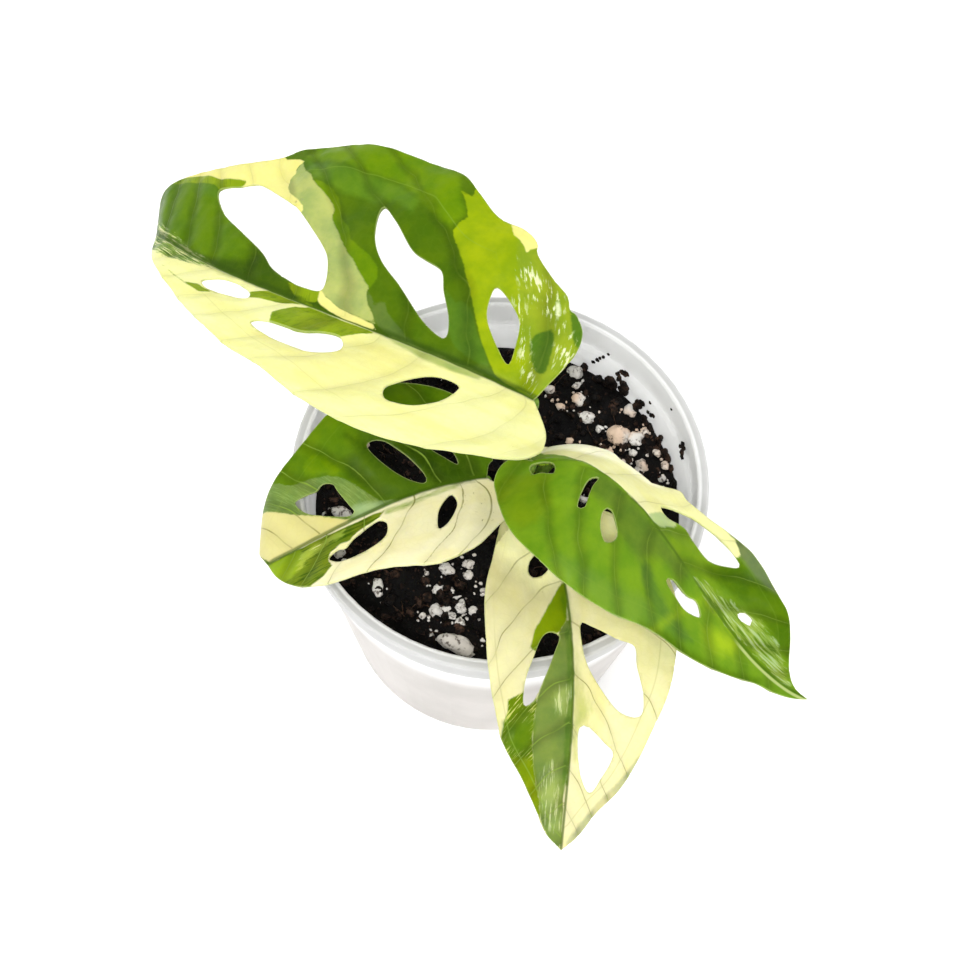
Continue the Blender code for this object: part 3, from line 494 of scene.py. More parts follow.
                (47.3, -2), (44.4, -1.5), (41.8, -1.5), (37.8, -1.2), (35.3, -1.5), (36.3, -3.7),
                (40.8, -2.9), (42.9, -3.9), (45.7, -4.7), (47.8, -6.7), (49.2, -6.5), (47.7, -4.1),
            )),
            ("freckle", (
                (-6, -1), (3, -2.5), (7.5, -5.5), (6.5, -13), (1, -15), (-6, -11),
            )),
            ("grey", (
                (25.3, -1.4), (19.2, -1.7), (11.7, -1), (6.8, -0.6), (8.2, -1.5), (14.5, -2.2),
                (20.8, -3), (24.8, -2.8),
            )),
        ),
    },
    "leaf_right": {
        "midrib": ((6.5, -7.4, 101), (33.3, -2.7, 109.1), (42.6, -49.9, 101.4), (69.9, -52.9, 84)),
        "right_fold": ((0, 4), (1, 10)),
        "left_fold": ((0, -50), (0.35, -46), (0.52, -20), (0.65, 8), (0.8, 20), (1, 20)),
        "right_curl": -5,
        "left_curl": 0,
        "hook": None,
        "right_edge": (
            (0, 0), (-2.5, 0.2), (-4.4, 0.9), (-5, 3.9), (-3.7, 8), (-1.1, 11.3), (3.4, 16.5),
            (9.2, 21.3), (16.5, 24.7), (24.5, 25.8), (31.7, 24.7), (41, 21.4), (49.8, 16.1),
            (59.8, 11.9), (68, 7.5), (74.3, 3.9), (79.4, 2.6), (84.5, 1), (86.5, 0),
        ),
        "left_edge": (
            (0, 0), (-1.5, -4), (-2.8, -10), (-1.1, -17), (6, -17.5), (13, -17), (17, -17.5), (21, -16),
            (27.6, -17), (33, -17.5), (36.5, -18.3), (39.5, -15.8), (47, -15), (57.6, -15),
            (65.3, -13.5), (70, -12.3), (73.7, -9.1), (78.4, -3.5), (82.2, -1), (86.5, 0),
        ),
        "holes": (
            (
                (0.8, 1.5), (3.4, 5.1), (5.4, 4.7), (8.4, 4.6), (6, 1.5),
            ),
            (
                (19, 1.6), (17.4, 3.1), (18, 6.5), (19.8, 10.3), (21.2, 9.4), (20, 6.4), (19.2, 4),
            ),
            (
                (25.3, 7.2), (26.7, 5.9), (31, 8.4), (31.7, 10.5), (30.2, 12.3), (27.1, 10.4),
            ),
            (
                (46, 6), (47, 4.4), (51.2, 3.9), (53.6, 2.6), (56.2, 4), (53.2, 6.1), (49.8, 6.4),
            ),
            (
                (61.9, -3.7), (63, -5.2), (65, -5.4), (65.4, -4.3), (63.5, -3.5),
            ),
            (
                (35.3, -7), (35.8, -9), (41.7, -11.8), (48, -12.3), (55.6, -11), (54, -8.5), (50, -6),
                (45.2, -6.6), (41.8, -7.5), (37.7, -5.8),
            ),
        ),
        "patches": (
            ("olive", (
                (-4.2, 7.8), (-1.9, 5), (2.8, 5), (7.5, 6.4), (13, 11.9), (14.6, 17.3), (12.3, 21.2),
                (6.8, 19.4), (-0.3, 12.9),
            )),
            ("blue", (
                (16.8, 2), (19.6, 0), (25.5, 0.4), (31.5, 0.3), (35.7, 0.4), (42.4, 0), (49.3, 0.4),
                (48.1, 3), (42.2, 4.3), (39, 6.7), (39.1, 8.7), (34.2, 9.1), (30.9, 8.1), (26.8, 5.8),
                (22.6, 6.2), (19.4, 5.3),
            )),
            ("teal", (
                (39.7, 7.4), (42.2, 7.4), (45.7, 9.2), (49.8, 9.5), (53.5, 9), (58, 9.4), (55.8, 11.5),
                (51.5, 12.5), (48, 12.4), (44.9, 11.7), (41.9, 10.8), (40, 9.5),
            )),
            ("fresh", (
                (24.4, 21.8), (31.9, 19.1), (40.5, 15.5), (45.9, 12), (54.4, 11.8), (50, 16.4),
                (43.3, 20.1), (34.2, 23), (23.4, 24.1),
            )),
            ("dark", (
                (47.1, 17), (52.4, 13.4), (58.9, 11.2), (66, 7.7), (74.5, 2.5), (75, 4.5), (66.3, 10),
                (60.9, 13.2), (52.4, 17.2), (48.1, 18.8),
            )),
            # Painted highlight: on this leaf the lime patches beside the midrib stand for light catching
            # the blade.
            ("lime", (
                (57.5, 5.7), (61.1, 1.8), (65.7, 0.9), (66.6, 3.7), (63.1, 6.2), (59.6, 7.3),
            )),
            ("lime", (
                (49.4, 19.4), (54, 1.6), (57.7, 0), (64.2, 0), (62.4, 0), (54.8, 0.5), (53.6, 2),
                (52, 7.3),
            )),
            ("cream", (
                (-5, -19.5), (1.1, -25.9), (8, -17.5), (11.3, -16.9), (14.9, -14.3), (14.9, -18.6),
                (17.2, -18.9), (21.7, -14.5), (26.6, -18.5), (31.9, -20.1), (36.7, -20.5),
                (38.7, -17.1), (43, -15.4), (46.6, -15.3), (51.9, -14.6), (54.9, -12.5), (53.4, -10.4),
                (48, -9.6), (43, -9.4), (39.6, -8.4), (38.2, -7.4), (36.7, -2.9), (34.5, -0.3),
                (31.5, 0), (26, 0), (22.2, -0.2), (19, -0.2), (14.8, -1.3), (10.5, -1.8), (6.2, -2.9),
                (1.8, -5.4),
            )),
            # Painted highlight: a near-white band along the cream half's margin near the base.
            ("crest", (
                (-1, -10.2), (1.2, -19), (8.8, -20), (14.4, -20), (20.9, -20), (26.8, -20), (31.5, -20),
                (33, -15.6), (27.4, -14), (21, -12), (14.1, -9.6), (8, -9), (3, -10),
            )),
            ("sage", (
                (33.7, -0.5), (34.9, -3.4), (35.6, -5.3), (39.1, -7.8), (40.5, -5.7), (37.7, -1),
                (35.6, 0),
            )),
            ("grey", (
                (46.1, -14.9), (49.6, -16.2), (53.9, -16.6), (57.5, -16.3), (61.4, -16), (65.9, -14.4),
                (65.4, -13.3), (63.7, -12.7), (59.7, -12), (54.8, -12.3), (50.4, -12.7),
            )),
            ("dark", (
                (50.4, -4.5), (55.4, -11.5), (60, -12.3), (64.1, -13), (67.9, -14.2), (72, -12.7),
                (77.2, -7.1), (76.5, -5.1), (71.4, -6.4), (66.2, -6.8), (61.8, -6.3), (56.7, -4.7),
                (52.7, -3.6),
            )),
            ("streak", (
                (49.7, 0), (52.9, -1.9), (56.8, -2.8), (61.4, -5), (66.5, -6.5), (73.7, -5.6),
                (81.5, -0.1), (78.5, -0.3), (71.5, -1.3), (66.8, -1.2), (62.8, -0.2), (58, 0),
                (55.2, 0), (52.4, 0),
            )),
        ),
    },
    "leaf_front": {
        "midrib": ((12.5, -16.6, 85), (20.4, -46.4, 91), (18.5, -63.5, 86.8), (18.6, -85, 64)),
        "right_fold": ((0, 16), (1, 16)),
        "left_fold": ((0, 14), (1, 14)),
        "right_curl": -3,
        "left_curl": -3,
        "hook": None,
        "right_edge": (
            (0, 0), (-3, 3), (-5, 7.5), (-3.5, 10.8), (-1, 12.3), (6.1, 15.5), (13.6, 18.5),
            (23.5, 19.6), (34.9, 19.1), (47.4, 16.8), (52.9, 15), (60.5, 10.5), (68.2, 6.4), (72.7, 4),
            (76.5, 0),
        ),
        "left_edge": (
            (0, 0), (-3, -3), (-5, -9), (-3, -15), (3, -20), (10, -23), (20, -24), (30.5, -22.8),
            (40, -20.9), (49.1, -17.8), (57.1, -14.8), (63.4, -11.5), (68.5, -7), (73.5, -3.5),
            (76.5, 0),
        ),
        "holes": (
            (
                (5.5, 4.5), (8.4, 2.8), (10.8, 4.8), (11.4, 7.2), (10, 8.1), (7.2, 7),
            ),
            (
                (24.8, 5), (25.8, 2.7), (30, 4.2), (37.4, 7), (42, 9), (42.6, 11.2), (37, 11),
                (31.7, 9.3), (26.5, 7.1),
            ),
            (
                (23, -2.2), (23.4, -4.5), (26.8, -9.9), (28.8, -13.7), (33.8, -14), (40.9, -15.3),
                (46, -14.8), (44.8, -10.2), (38.3, -5.7), (31.5, -2.8),
            ),
            (
                (48.4, -1.9), (48.5, -3.8), (52.3, -7.4), (55.2, -9.5), (60.8, -7.3), (64, -5),
                (59.8, -2.7), (52, -1.5),
            ),
        ),
        "patches": (
            ("olive", (
                (11.6, 0), (17.6, 4.3), (21.6, 6.8), (24.3, 8.5), (28.7, 9.8), (29.7, 8.2), (28, 6.3),
                (26.8, 4.6), (24.6, 2.6), (22.3, 1), (16.9, 0),
            )),
            ("dark", (
                (12.1, 0), (17, 0), (22.3, 0), (21.3, 1.1), (16.9, 1.7),
            )),
            ("grey", (
                (21.8, 0.7), (24.1, 2.5), (28, 4.2), (33, 5.8), (39.1, 7.6), (42.5, 8.5), (47.6, 8.9),
                (53.1, 8.7), (57.6, 8.3), (61.5, 7.3), (65.2, 6.2), (69.2, 5.6), (74.1, 3.3), (76.4, 0),
                (65.4, 0.6), (56.1, 0), (41.7, 0), (31.8, 0), (21.9, 0),
            )),
            ("shade", (
                (24, 0), (62, 0), (62, 1.2), (50, 1.6), (24, 1.2),
            )),
            # Painted light: a brighter patch over the base, against the shade that the leaf above casts
            # there.
            ("thin", (
                (-12, -2), (-12, -20), (3, -20), (5, -9), (12, -4), (13, 6), (4, 16), (-6, 10),
            )),
            ("frost", (
                (57.9, 5.6), (56.5, 4), (58, 2.4), (61.9, 2.4), (65.3, 2.2), (72, 0.6), (72, 3.4),
                (64.1, 6), (60.7, 6.4),
            )),
            ("frost", (
                (40.9, 4.1), (38.6, 3), (38.2, 0.9), (40.5, 0.4), (42.2, 1.4), (45, 1.7), (44.4, 3.6),
            )),
            ("green", (
                (41.4, 14.8), (39.5, 11.2), (36.6, 10.6), (39.1, 9), (42.7, 8.2), (47.6, 9),
                (53.1, 8.7), (57.6, 8.3), (61.5, 7.3), (65.2, 6.2), (69.2, 5.6), (69.2, 7),
                (62.8, 10.8), (52.2, 16.1), (49.1, 15.7), (46.5, 15.4), (44.1, 14.9),
            )),
            ("dark", (
                (46.8, 15.5), (46.8, 11.9), (46.4, 8.8), (51.2, 9), (54, 9), (54, 12.6), (51.5, 15.7),
            )),
            ("lime", (
                (55.3, 13), (55.5, 8.7), (58.3, 8), (62, 7), (69.2, 5.6), (69.2, 7), (62.3, 10.8),
            )),
            ("gold", (
                (29.3, -0.2), (39.3, -1.6), (44.2, -3.9), (47.9, -2.3), (50.3, -1.3), (56.2, -1.3),
                (51.4, -0.3),
            )),
            ("moss", (
                (55.3, -15.4), (58.3, -15.6), (63.5, -12.2), (68, -8.5), (72.6, -5), (76, -1.5),
                (74.9, -1), (70.4, -3.7), (65.5, -7.6), (61, -11.5),
            )),
        ),
    },
}

# Tones of the blades by patch name; the first two are the right and left halves' own. A layer is the
# patch, its colour, the softness and the tear of its edge, and the grain that breaks it into flecks.
# A colour's fourth number is its own share of light returned; on the painted-light and painted-highlight
# patches it is raised to brighten them
TONES = {
    "leaf_top": (
        ((82, 114, 2), (255, 254, 182, 0.64)),
        (
            ("tip", (94, 130, 0), 3.0, 1.5, ""), ("bright", (108, 144, 0), 1.2, 0.8, ""),
            ("blue", (97, 135, 23), 1.0, 0.7, ""), ("deep", (66, 95, 4), 1.2, 0.6, ""),
            ("lime", (107, 142, 0), 0.25, 0.3, ""), ("chart", (154, 175, 7), 0.2, 0.4, ""),
            ("olive", (148, 169, 34), 0.8, 0.8, ""), ("dusk", (86, 124, 26), 0.3, 0.4, ""),
            ("fleck", (176, 194, 70), 1.2, 1.0, "vein_light"),
            ("fleck", (242, 246, 200), 1.2, 1.0, "vein_few"), ("gleam", (236, 244, 196), 0.3, 0.5, ""),
            ("sage", (180, 191, 110), 0.2, 0.3, ""), ("grey", (97, 123, 48), 0.25, 0.5, ""),
            ("cream", (251, 244, 152), 0.15, 0.25, ""), ("moss", (140, 165, 17), 0.2, 0.3, ""),
            ("moss", (118, 146, 12), 0.2, 0.3, "vein_dark"),
            ("gold", (255, 251, 172), 2.0, 1.5, ""), ("greylow", (191, 206, 117), 0.8, 0.6, ""),
            ("streak", (130, 162, 56), 0.5, 1.6, ""), ("streak", (240, 242, 180), 0.5, 1.6, "rib_light"),
            ("streak", (78, 112, 34), 0.5, 1.6, "rib_dark"),
        ),
    ),
    "leaf_left": (
        ((94, 130, 6), (236, 230, 194, 0.78)),
        (
            ("bright", (103, 139, 6), 1.5, 1.0, ""), ("dark", (80, 111, 13), 1.5, 1.0, ""),
            ("deep", (60, 89, 4), 2.0, 1.0, ""), ("lime", (109, 144, 2), 0.5, 0.8, ""),
            ("sage", (121, 147, 69), 0.2, 0.5, ""), ("sage", (136, 164, 84), 0.2, 0.5, "vein_light"),
            ("pale", (165, 190, 129), 0.8, 0.8, ""), ("cream", (234, 225, 154), 0.2, 0.3, ""),
            ("green", (116, 138, 25), 0.2, 0.4, ""), ("green", (74, 104, 4), 0.2, 0.4, "rib_dark"),
            ("tiplime", (146, 176, 20), 0.6, 0.8, ""), ("grey", (164, 186, 98), 0.8, 0.8, ""),
            ("freckle", (104, 92, 44), 1.5, 0.5, "dots"),
            ("streak", (168, 188, 66), 0.5, 1.4, ""), ("streak", (246, 246, 180), 0.5, 1.4, "rib_few"),
        ),
    ),
    "leaf_right": (
        ((116, 156, 26), (114, 150, 22)),
        (
            ("olive", (116, 148, 17), 1.5, 1.0, ""), ("fresh", (111, 150, 41), 1.5, 1.0, ""),
            ("blue", (98, 129, 34), 1.5, 1.0, ""), ("teal", (94, 132, 39), 1.0, 0.8, ""),
            # On this leaf the lime layer is a painted highlight beside the midrib.
            ("dark", (84, 119, 0), 1.2, 0.6, ""), ("lime", (152, 183, 28), 1.8, 1.0, ""),
            ("grey", (116, 133, 81), 0.6, 0.6, ""), ("cream", (255, 253, 186), 0.2, 0.4, ""),
            ("sage", (192, 210, 142), 0.3, 0.4, ""), ("streak", (146, 172, 66), 0.4, 2.0, ""),
            ("streak", (176, 196, 132), 0.4, 2.0, "rib_light"),
            # The last layer here is a painted highlight along the cream half's margin near the base.
            ("streak", (98, 132, 28), 0.4, 2.0, "rib_dark"), ("crest", (255, 254, 218, 0.8), 2.0, 1.6, ""),
        ),
    ),
    "leaf_front": (
        ((240, 233, 182), (246, 239, 186)),
        (
            # The second layer here brightens the base as painted light, against the shade of the leaf
            # above.
            ("gold", (200, 203, 124), 1.6, 1.2, ""), ("thin", (253, 250, 192, 0.9), 4.0, 1.0, ""),
            ("grey", (123, 145, 65), 0.2, 0.4, ""),
            ("shade", (100, 132, 44), 0.5, 0.8, ""), ("frost", (152, 172, 92), 1.4, 1.4, ""),
            ("frost", (206, 214, 152), 0.8, 1.4, "rib_light"), ("green", (101, 129, 7), 0.2, 0.4, ""),
            ("green", (206, 210, 110), 0.2, 0.4, "vein_few"), ("olive", (134, 158, 6), 0.2, 0.4, ""),
            ("dark", (98, 130, 8), 1.2, 0.8, ""), ("lime", (131, 151, 1), 0.8, 0.6, ""),
            ("moss", (202, 199, 149), 0.4, 0.4, ""),
        ),
    ),
}

# Lines along the midribs: start and end along it, place across it, width, colour and strength. The dark
# lines are painted shade in the crease along the midrib; the pale ones are the rib's own colour.
RIB_LINES_AND_CREASE_SHADE = {
    "leaf_top": (
        (-5, 38, 0.5, 1.3, (58, 88, 8), 0.7), (57, 124, 0.5, 1.3, (58, 88, 8), 0.7),
        (-5, 124, 0.0, 0.35, (76, 106, 18), 0.7), (20, 124, -0.35, 0.2, (190, 206, 140), 0.4),
    ),
    "leaf_left": ((-5, 57, 0.2, 0.8, (66, 96, 10), 0.7),),
    "leaf_right": (
        (28, 48, 0.0, 0.5, (74, 104, 20), 0.6), (50, 87, -0.2, 0.5, (74, 112, 14), 0.7),
        (66, 87, 0.5, 0.5, (206, 220, 140), 0.8),
    ),
    "leaf_front": ((-5, 77, 0.0, 0.45, (86, 112, 24), 0.8),),
}

# How plainly each leaf shows its side veins and the vein along its margin
VEIN_STRENGTH = {
    "leaf_top": (0.45, 0.3), "leaf_left": (2.1, 0.12),
    "leaf_right": (0.8, 0.12), "leaf_front": (1.8, 0.45),
}

# Fleck patterns: the field each reads, its lowest and highest value, and what it gives at each
GRAINS = {
    "rib_light": ("rib", 0.52, 0.58), "rib_dark": ("rib", 0.42, 0.48, 1.0, 0.0),
    "rib_few": ("rib", 0.62, 0.67), "vein_light": ("vein", 0.48, 0.62),
    "vein_dark": ("vein", 0.38, 0.48, 1.0, 0.0), "vein_few": ("vein", 0.54, 0.6),
    "dots": ("dots", 0.62, 0.68, 0.0, 0.75),
}


def table(pairs, share):
    """Read a table of (share, value) pairs with straight lines between them."""
    for (s0, v0), (s1, v1) in zip(pairs, pairs[1:]):
        if share <= s1:
            return v0 + (v1 - v0) * (share - s0) / (s1 - s0)
    return pairs[-1][1]


def smooth(points, step, closed):
    """Round a chain of points with a Catmull-Rom curve and space it out by about the step."""
    pts = [Vector(p) for p in points]
    n = len(pts)
    chain = []
    for i in range(n if closed else n - 1):
        if closed:
            a, b, c, d = (pts[(i + k) % n] for k in (-1, 0, 1, 2))
        else:
            b, c = pts[i], pts[i + 1]
            a = pts[i - 1] if i else b * 2 - c
            d = pts[i + 2] if i + 2 < n else c * 2 - b
        cuts = max(1, round((c - b).length / step))
        for k in range(cuts):
            t = k / cuts
            chain.append(0.5 * (b * 2 + (c - a) * t + (a * 2 - b * 5 + c * 4 - d) * t * t
                                + (b * 3 - a - c * 3 + d) * t ** 3))
    if not closed:
        chain.append(pts[-1])
    return chain


def loop_distance(places, loop):
    """Distance from each flat place to a closed loop, and whether it lies inside."""
    a = np.array([tuple(p) for p in loop], float)
    b = np.roll(a, -1, axis=0)
    edge = b - a
    to = places[:, None, :] - a[None]
    share = np.clip((to * edge).sum(-1) / np.maximum((edge * edge).sum(-1), 1e-9), 0, 1)
    gap = np.linalg.norm(to - share[..., None] * edge, axis=-1).min(1)
    x, y = places[:, 0:1], places[:, 1:2]
    cross = (a[:, 1] > y) != (b[:, 1] > y)
    rise = np.where(edge[:, 1] == 0, 1e-9, edge[:, 1])
    hit = cross & (x < a[:, 0] + edge[:, 0] * (y - a[:, 1]) / rise)
    return gap, hit.sum(1) % 2 == 1


class Blade:
    """A leaf's surface in space, read by distance along its midrib and distance across it."""

    def __init__(self, shape):
        self.shape = shape
        self.midrib = [Vector(p) for p in shape["midrib"]]
        steps = [self.rib_point(i / 200) for i in range(201)]
        self.length = sum((b - a).length for a, b in zip(steps, steps[1:]))
        chord = (self.midrib[3] - self.midrib[0]).normalized()
        self.side = chord.cross(UP).normalized()
        self.lift = self.side.cross(chord)
        self.back = (self.rib_slope(0).normalized() + chord).normalized()

    def rib_point(self, t):
        a, b, c, d = self.midrib
        s = 1 - t
        return a * s ** 3 + b * (3 * s * s * t) + c * (3 * s * t * t) + d * t ** 3

    def rib_slope(self, t):
        a, b, c, d = self.midrib
        s = 1 - t
        return (b - a) * (3 * s * s) + (c - b) * (6 * s * t) + (d - c) * (3 * t * t)

    def point(self, along, across, relief):
        """The place in space of a place on the flat shape, raised by the relief."""
        t = min(max(along / self.length, 0.0), 1.0)
        place = self.rib_point(t)
        if along < 0:
            place += self.back * along
        else:
            place += self.rib_slope(t) * ((along - t * self.length) / self.length)
        half = "right" if across >= 0 else "left"
        fold = math.radians(table(self.shape[half + "_fold"], t))
        bend = math.radians(self.shape[half + "_curl"]) / 10 or 1e-6
        out = abs(across)
        flat = (math.sin(fold + bend * out) - math.sin(fold)) / bend
        rise = (math.cos(fold) - math.cos(fold + bend * out)) / bend
        wave = math.sin(along / EDGE_WAVE_LENGTH + across / EDGE_WAVE_LEAN)
        rise += EDGE_WAVE * min(out / EDGE_WAVE_REACH, 1) ** 2 * wave
        place += self.side * math.copysign(flat, across) + self.lift * (rise + relief)
        if self.shape["hook"]:
            self.hook(place)
        return place

    def hook(self, place):
        """Roll the tip down past a line over the ground that starts the hook."""
        start_x, start_y, slant, radius = self.shape["hook"]
        past = start_x - place.x - slant * (place.y - start_y)
        if past > 0:
            turn = min(past / radius, HOOK_LIMIT)
            place.x += past - radius * math.sin(turn)
            place.z -= radius * (1 - math.cos(turn))


def vein_phase(name, places):
    """How many side veins a place has passed, with its share of the way to the next, and their gap."""
    phase = np.zeros(len(places))
    gap = np.ones(len(places))
    for sign, half in ((1, "right"), (-1, "left")):
        mine = places[:, 1] * sign >= 0
        out = np.abs(places[:, 1])
        lines = [start + lean * out + curve * out ** 2 for start, lean, curve in VEINS[name][half]]
        lines = [lines[0] - 8.0] + lines + [lines[-1] + 9.0]
        for i, (low, high) in enumerate(zip(lines, lines[1:])):
            span = np.maximum(high - low, 1.0)
            here = mine & (places[:, 0] >= low) & (places[:, 0] < high)
            phase[here] = (i + (places[:, 0] - low) / span)[here]
            gap[here] = span[here] * VEIN_TILT
    return phase, gap


def flat_sheet(loops):
    """The blade's flat shape with its holes, cut by a fine square grid."""
    bm = bmesh.new()
    for loop in loops:
        corners = [bm.verts.new((p.x, p.y, 0)) for p in loop]
        for a, b in zip(corners, corners[1:] + corners[:1]):
            bm.edges.new((a, b))
    bmesh.ops.triangle_fill(bm, edges=bm.edges[:], use_beauty=True, normal=(0, 0, 1))
    for axis in (0, 1):
        first = math.floor(min(p[axis] for p in loops[0]) / CELL)
        last = math.ceil(max(p[axis] for p in loops[0]) / CELL)
        normal = Vector((axis == 0, axis == 1, 0))
        for i in range(first, last + 1):
            bmesh.ops.bisect_plane(bm, geom=bm.verts[:] + bm.edges[:] + bm.faces[:], dist=0.02,
                                   plane_co=normal * (i * CELL), plane_no=normal)
    slanted = []
    for edge in bm.edges:
        run = edge.verts[0].co - edge.verts[1].co
        if len(edge.link_faces) == 2 and abs(run.x) > 0.01 and abs(run.y) > 0.01:
            slanted.append(edge)
    bmesh.ops.dissolve_edges(bm, edges=slanted, use_verts=False)
    bmesh.ops.remove_doubles(bm, verts=bm.verts[:], dist=0.12)
    bmesh.ops.triangulate(bm, faces=[f for f in bm.faces if len(f.verts) > 4])
    return bm


def bend_sheet(bm, blade, places, puff):
    """Keep the flat shape as a map, then bend the sheet into place with its quilting."""
    flat_map = bm.loops.layers.uv.new("flat")
    for face in bm.faces:
        for corner in face.loops:
            corner[flat_map].uv = (corner.vert.co.x * FLAT_UNIT, corner.vert.co.y * FLAT_UNIT)
    for v, (along, across), lift in zip(bm.verts, places, puff):
        grain = noise.noise(Vector((along, across, 4.0)) * 0.35) * BLADE_GRAIN
        dip = (math.hypot(across, CREASE_RADIUS) - abs(across)) * CREASE_FILL
        v.co = blade.point(along, across, lift + grain + dip) * MM
    bm.normal_update()
    if sum(f.normal.z * f.calc_area() for f in bm.faces) < 0:
        bmesh.ops.reverse_faces(bm, faces=bm.faces[:])


def patch_depths(patches, places):
    """How deep each place lies inside the patches of each tone, negative outside them."""
    depths = {}
    for tone, loop in patches:
        away, within = loop_distance(places, loop)
        depth = np.where(within, away, -away)
        depths[tone] = np.maximum(depths.get(tone, depth), depth)
    return {tone: np.clip(depth, -6, 6) for tone, depth in depths.items()}


def thicken(obj, weights):
    """Give the blade its thickness, fuller along the midrib and the side veins."""
    group = obj.vertex_groups.new(name="rib")
    for i, weight in enumerate(weights):
        group.add([i], float(weight), "REPLACE")
    solid = obj.modifiers.new("thickness", "SOLIDIFY")
    solid.thickness = RIB_THICKNESS * MM
    solid.offset = -1
    solid.vertex_group = "rib"
    solid.thickness_vertex_group = BLADE_THICKNESS / RIB_THICKNESS


def leaf(name, shape, skin):
    """One blade: veined, quilted and folded, with a raised rib below and its markings as fields."""
    blade = Blade(shape)
    right = smooth(shape["right_edge"], EDGE_STEP, False)
    left = smooth(shape["left_edge"], EDGE_STEP, False)
    outline = right + left[-2:0:-1]
    holes = [smooth(hole, EDGE_STEP, True) for hole in shape["holes"]]
    bm = flat_sheet([outline] + holes)
    places = np.array([(v.co.x, v.co.y) for v in bm.verts])
    phase, gap = vein_phase(name, places)
    margin = loop_distance(places, outline)[0]
    rim = np.minimum.reduce([margin] + [loop_distance(places, hole)[0] for hole in holes])
    side = np.abs(phase - np.round(phase)) * gap
    nearest = np.minimum(side, np.abs(places[:, 1]))
    puff = QUILT_HEIGHT * (1 - np.exp(-(nearest / QUILT_SPREAD) ** 2)) * np.clip(rim / 3, 0, 1)
    bend_sheet(bm, blade, places, puff)
    mesh = bpy.data.meshes.new(name + "_skin")
    bm.to_mesh(mesh)
    bm.free()
    fields = {"phase": phase, "gap": gap, "margin": margin, "rim": rim}
    fields.update(patch_depths(shape["patches"], places))
    for field, values in fields.items():
        layer = mesh.attributes.new(field, "FLOAT", "POINT")
        layer.data.foreach_set("value", np.asarray(values, np.float32))
    obj = finished(name + "_blade", mesh, skin)
    weights = np.exp(-(places[:, 1] / RIB_SPREAD) ** 2) * np.clip(rim / 1.5, 0, 1)
    weights *= np.clip(1.15 - places[:, 0] / blade.length * 0.7, 0.3, 1)
    thicken(obj, np.maximum(weights, VEIN_RIDGE * np.exp(-(side / 0.5) ** 2)))
    return carry(obj, name)


def link(name, data):
    obj = bpy.data.objects.new(name, data)
    bpy.context.scene.collection.objects.link(obj)
    return obj


def finished(name, mesh, skin, rounded=True):
    """Put a mesh into the scene with its finish, shaded round or in flat facets."""
    for face in mesh.polygons:
        face.use_smooth = rounded
    mesh.materials.append(skin)
    return link(name, mesh)


def mesh_piece(name, bm, skin, rounded=True):
    mesh = bpy.data.meshes.new(name)
    bmesh.ops.recalc_face_normals(bm, faces=bm.faces[:])
    bm.to_mesh(mesh)
    bm.free()
    return finished(name, mesh, skin, rounded)


def strand_piece(name, strands, sides, skin):
    """Round strands through chains of (x, y, z, radius) points, as one closed mesh with flat caps."""
    curve = bpy.data.curves.new(name, "CURVE")
    curve.dimensions = "3D"
    curve.bevel_depth = MM
    curve.bevel_resolution = sides // 4 - 1
    curve.use_fill_caps = True
    for strand in strands:
        spline = curve.splines.new("POLY")
        spline.points.add(len(strand) - 1)
        for knot, (x, y, z, radius) in zip(spline.points, strand):
            knot.co = (x * MM, y * MM, z * MM, 1.0)
            knot.radius = radius
    draft = link(name + "_draft", curve)
    bpy.context.view_layer.update()
    mesh = bpy.data.meshes.new_from_object(draft.evaluated_get(bpy.context.evaluated_depsgraph_get()))
    bpy.data.objects.remove(draft)
    bm = bmesh.new()
    bm.from_mesh(mesh)
    bpy.data.meshes.remove(mesh)
    bmesh.ops.remove_doubles(bm, verts=bm.verts[:], dist=0.01 * MM)
    return mesh_piece(name, bm, skin)


def tube(name, knots, sides, skin):
    """A round stalk along a smoothed chain of knots."""
    return strand_piece(name, [smooth(knots, STALK_STEP, False)], sides, skin)


def carry(obj, node):
    """Let a piece stand for a solid, which it hides, and ride with the model."""
    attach(obj, "root")
    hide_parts(node)
    return obj


def with_soil(obj):
    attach(obj, "root")
    return obj


def wall_radius(height):
    """The pot's inner radius at a height."""
    low, high = BASE_RADIUS - WALL + 0.2, BODY_TOP_RADIUS - WALL
    return low + (high - low) * (height - FLOOR - 1.0) / (COLLAR_BOTTOM - FLOOR - 2.0)


def from_stem(x, y):
    return math.hypot(x - STEM[0][0], y - STEM[0][1])


def rough(place, *grains):
    """Sum of noises over a place, each given as a third coordinate, a scale and a height."""
    return sum(noise.noise(Vector((*place, layer)) * scale) * high for layer, scale, high in grains)


def soil_height(x, y):
    """The soil's rough top, a little higher around the stem."""
    grain = rough((x, y), (3.0, 0.16, 1.3), (9.0, 0.42, 0.9))
    mound = MOUND_HEIGHT * math.exp(-from_stem(x, y) ** 2 / MOUND_SPREAD)
    return SOIL_LEVEL + SOIL_RELIEF * grain + mound


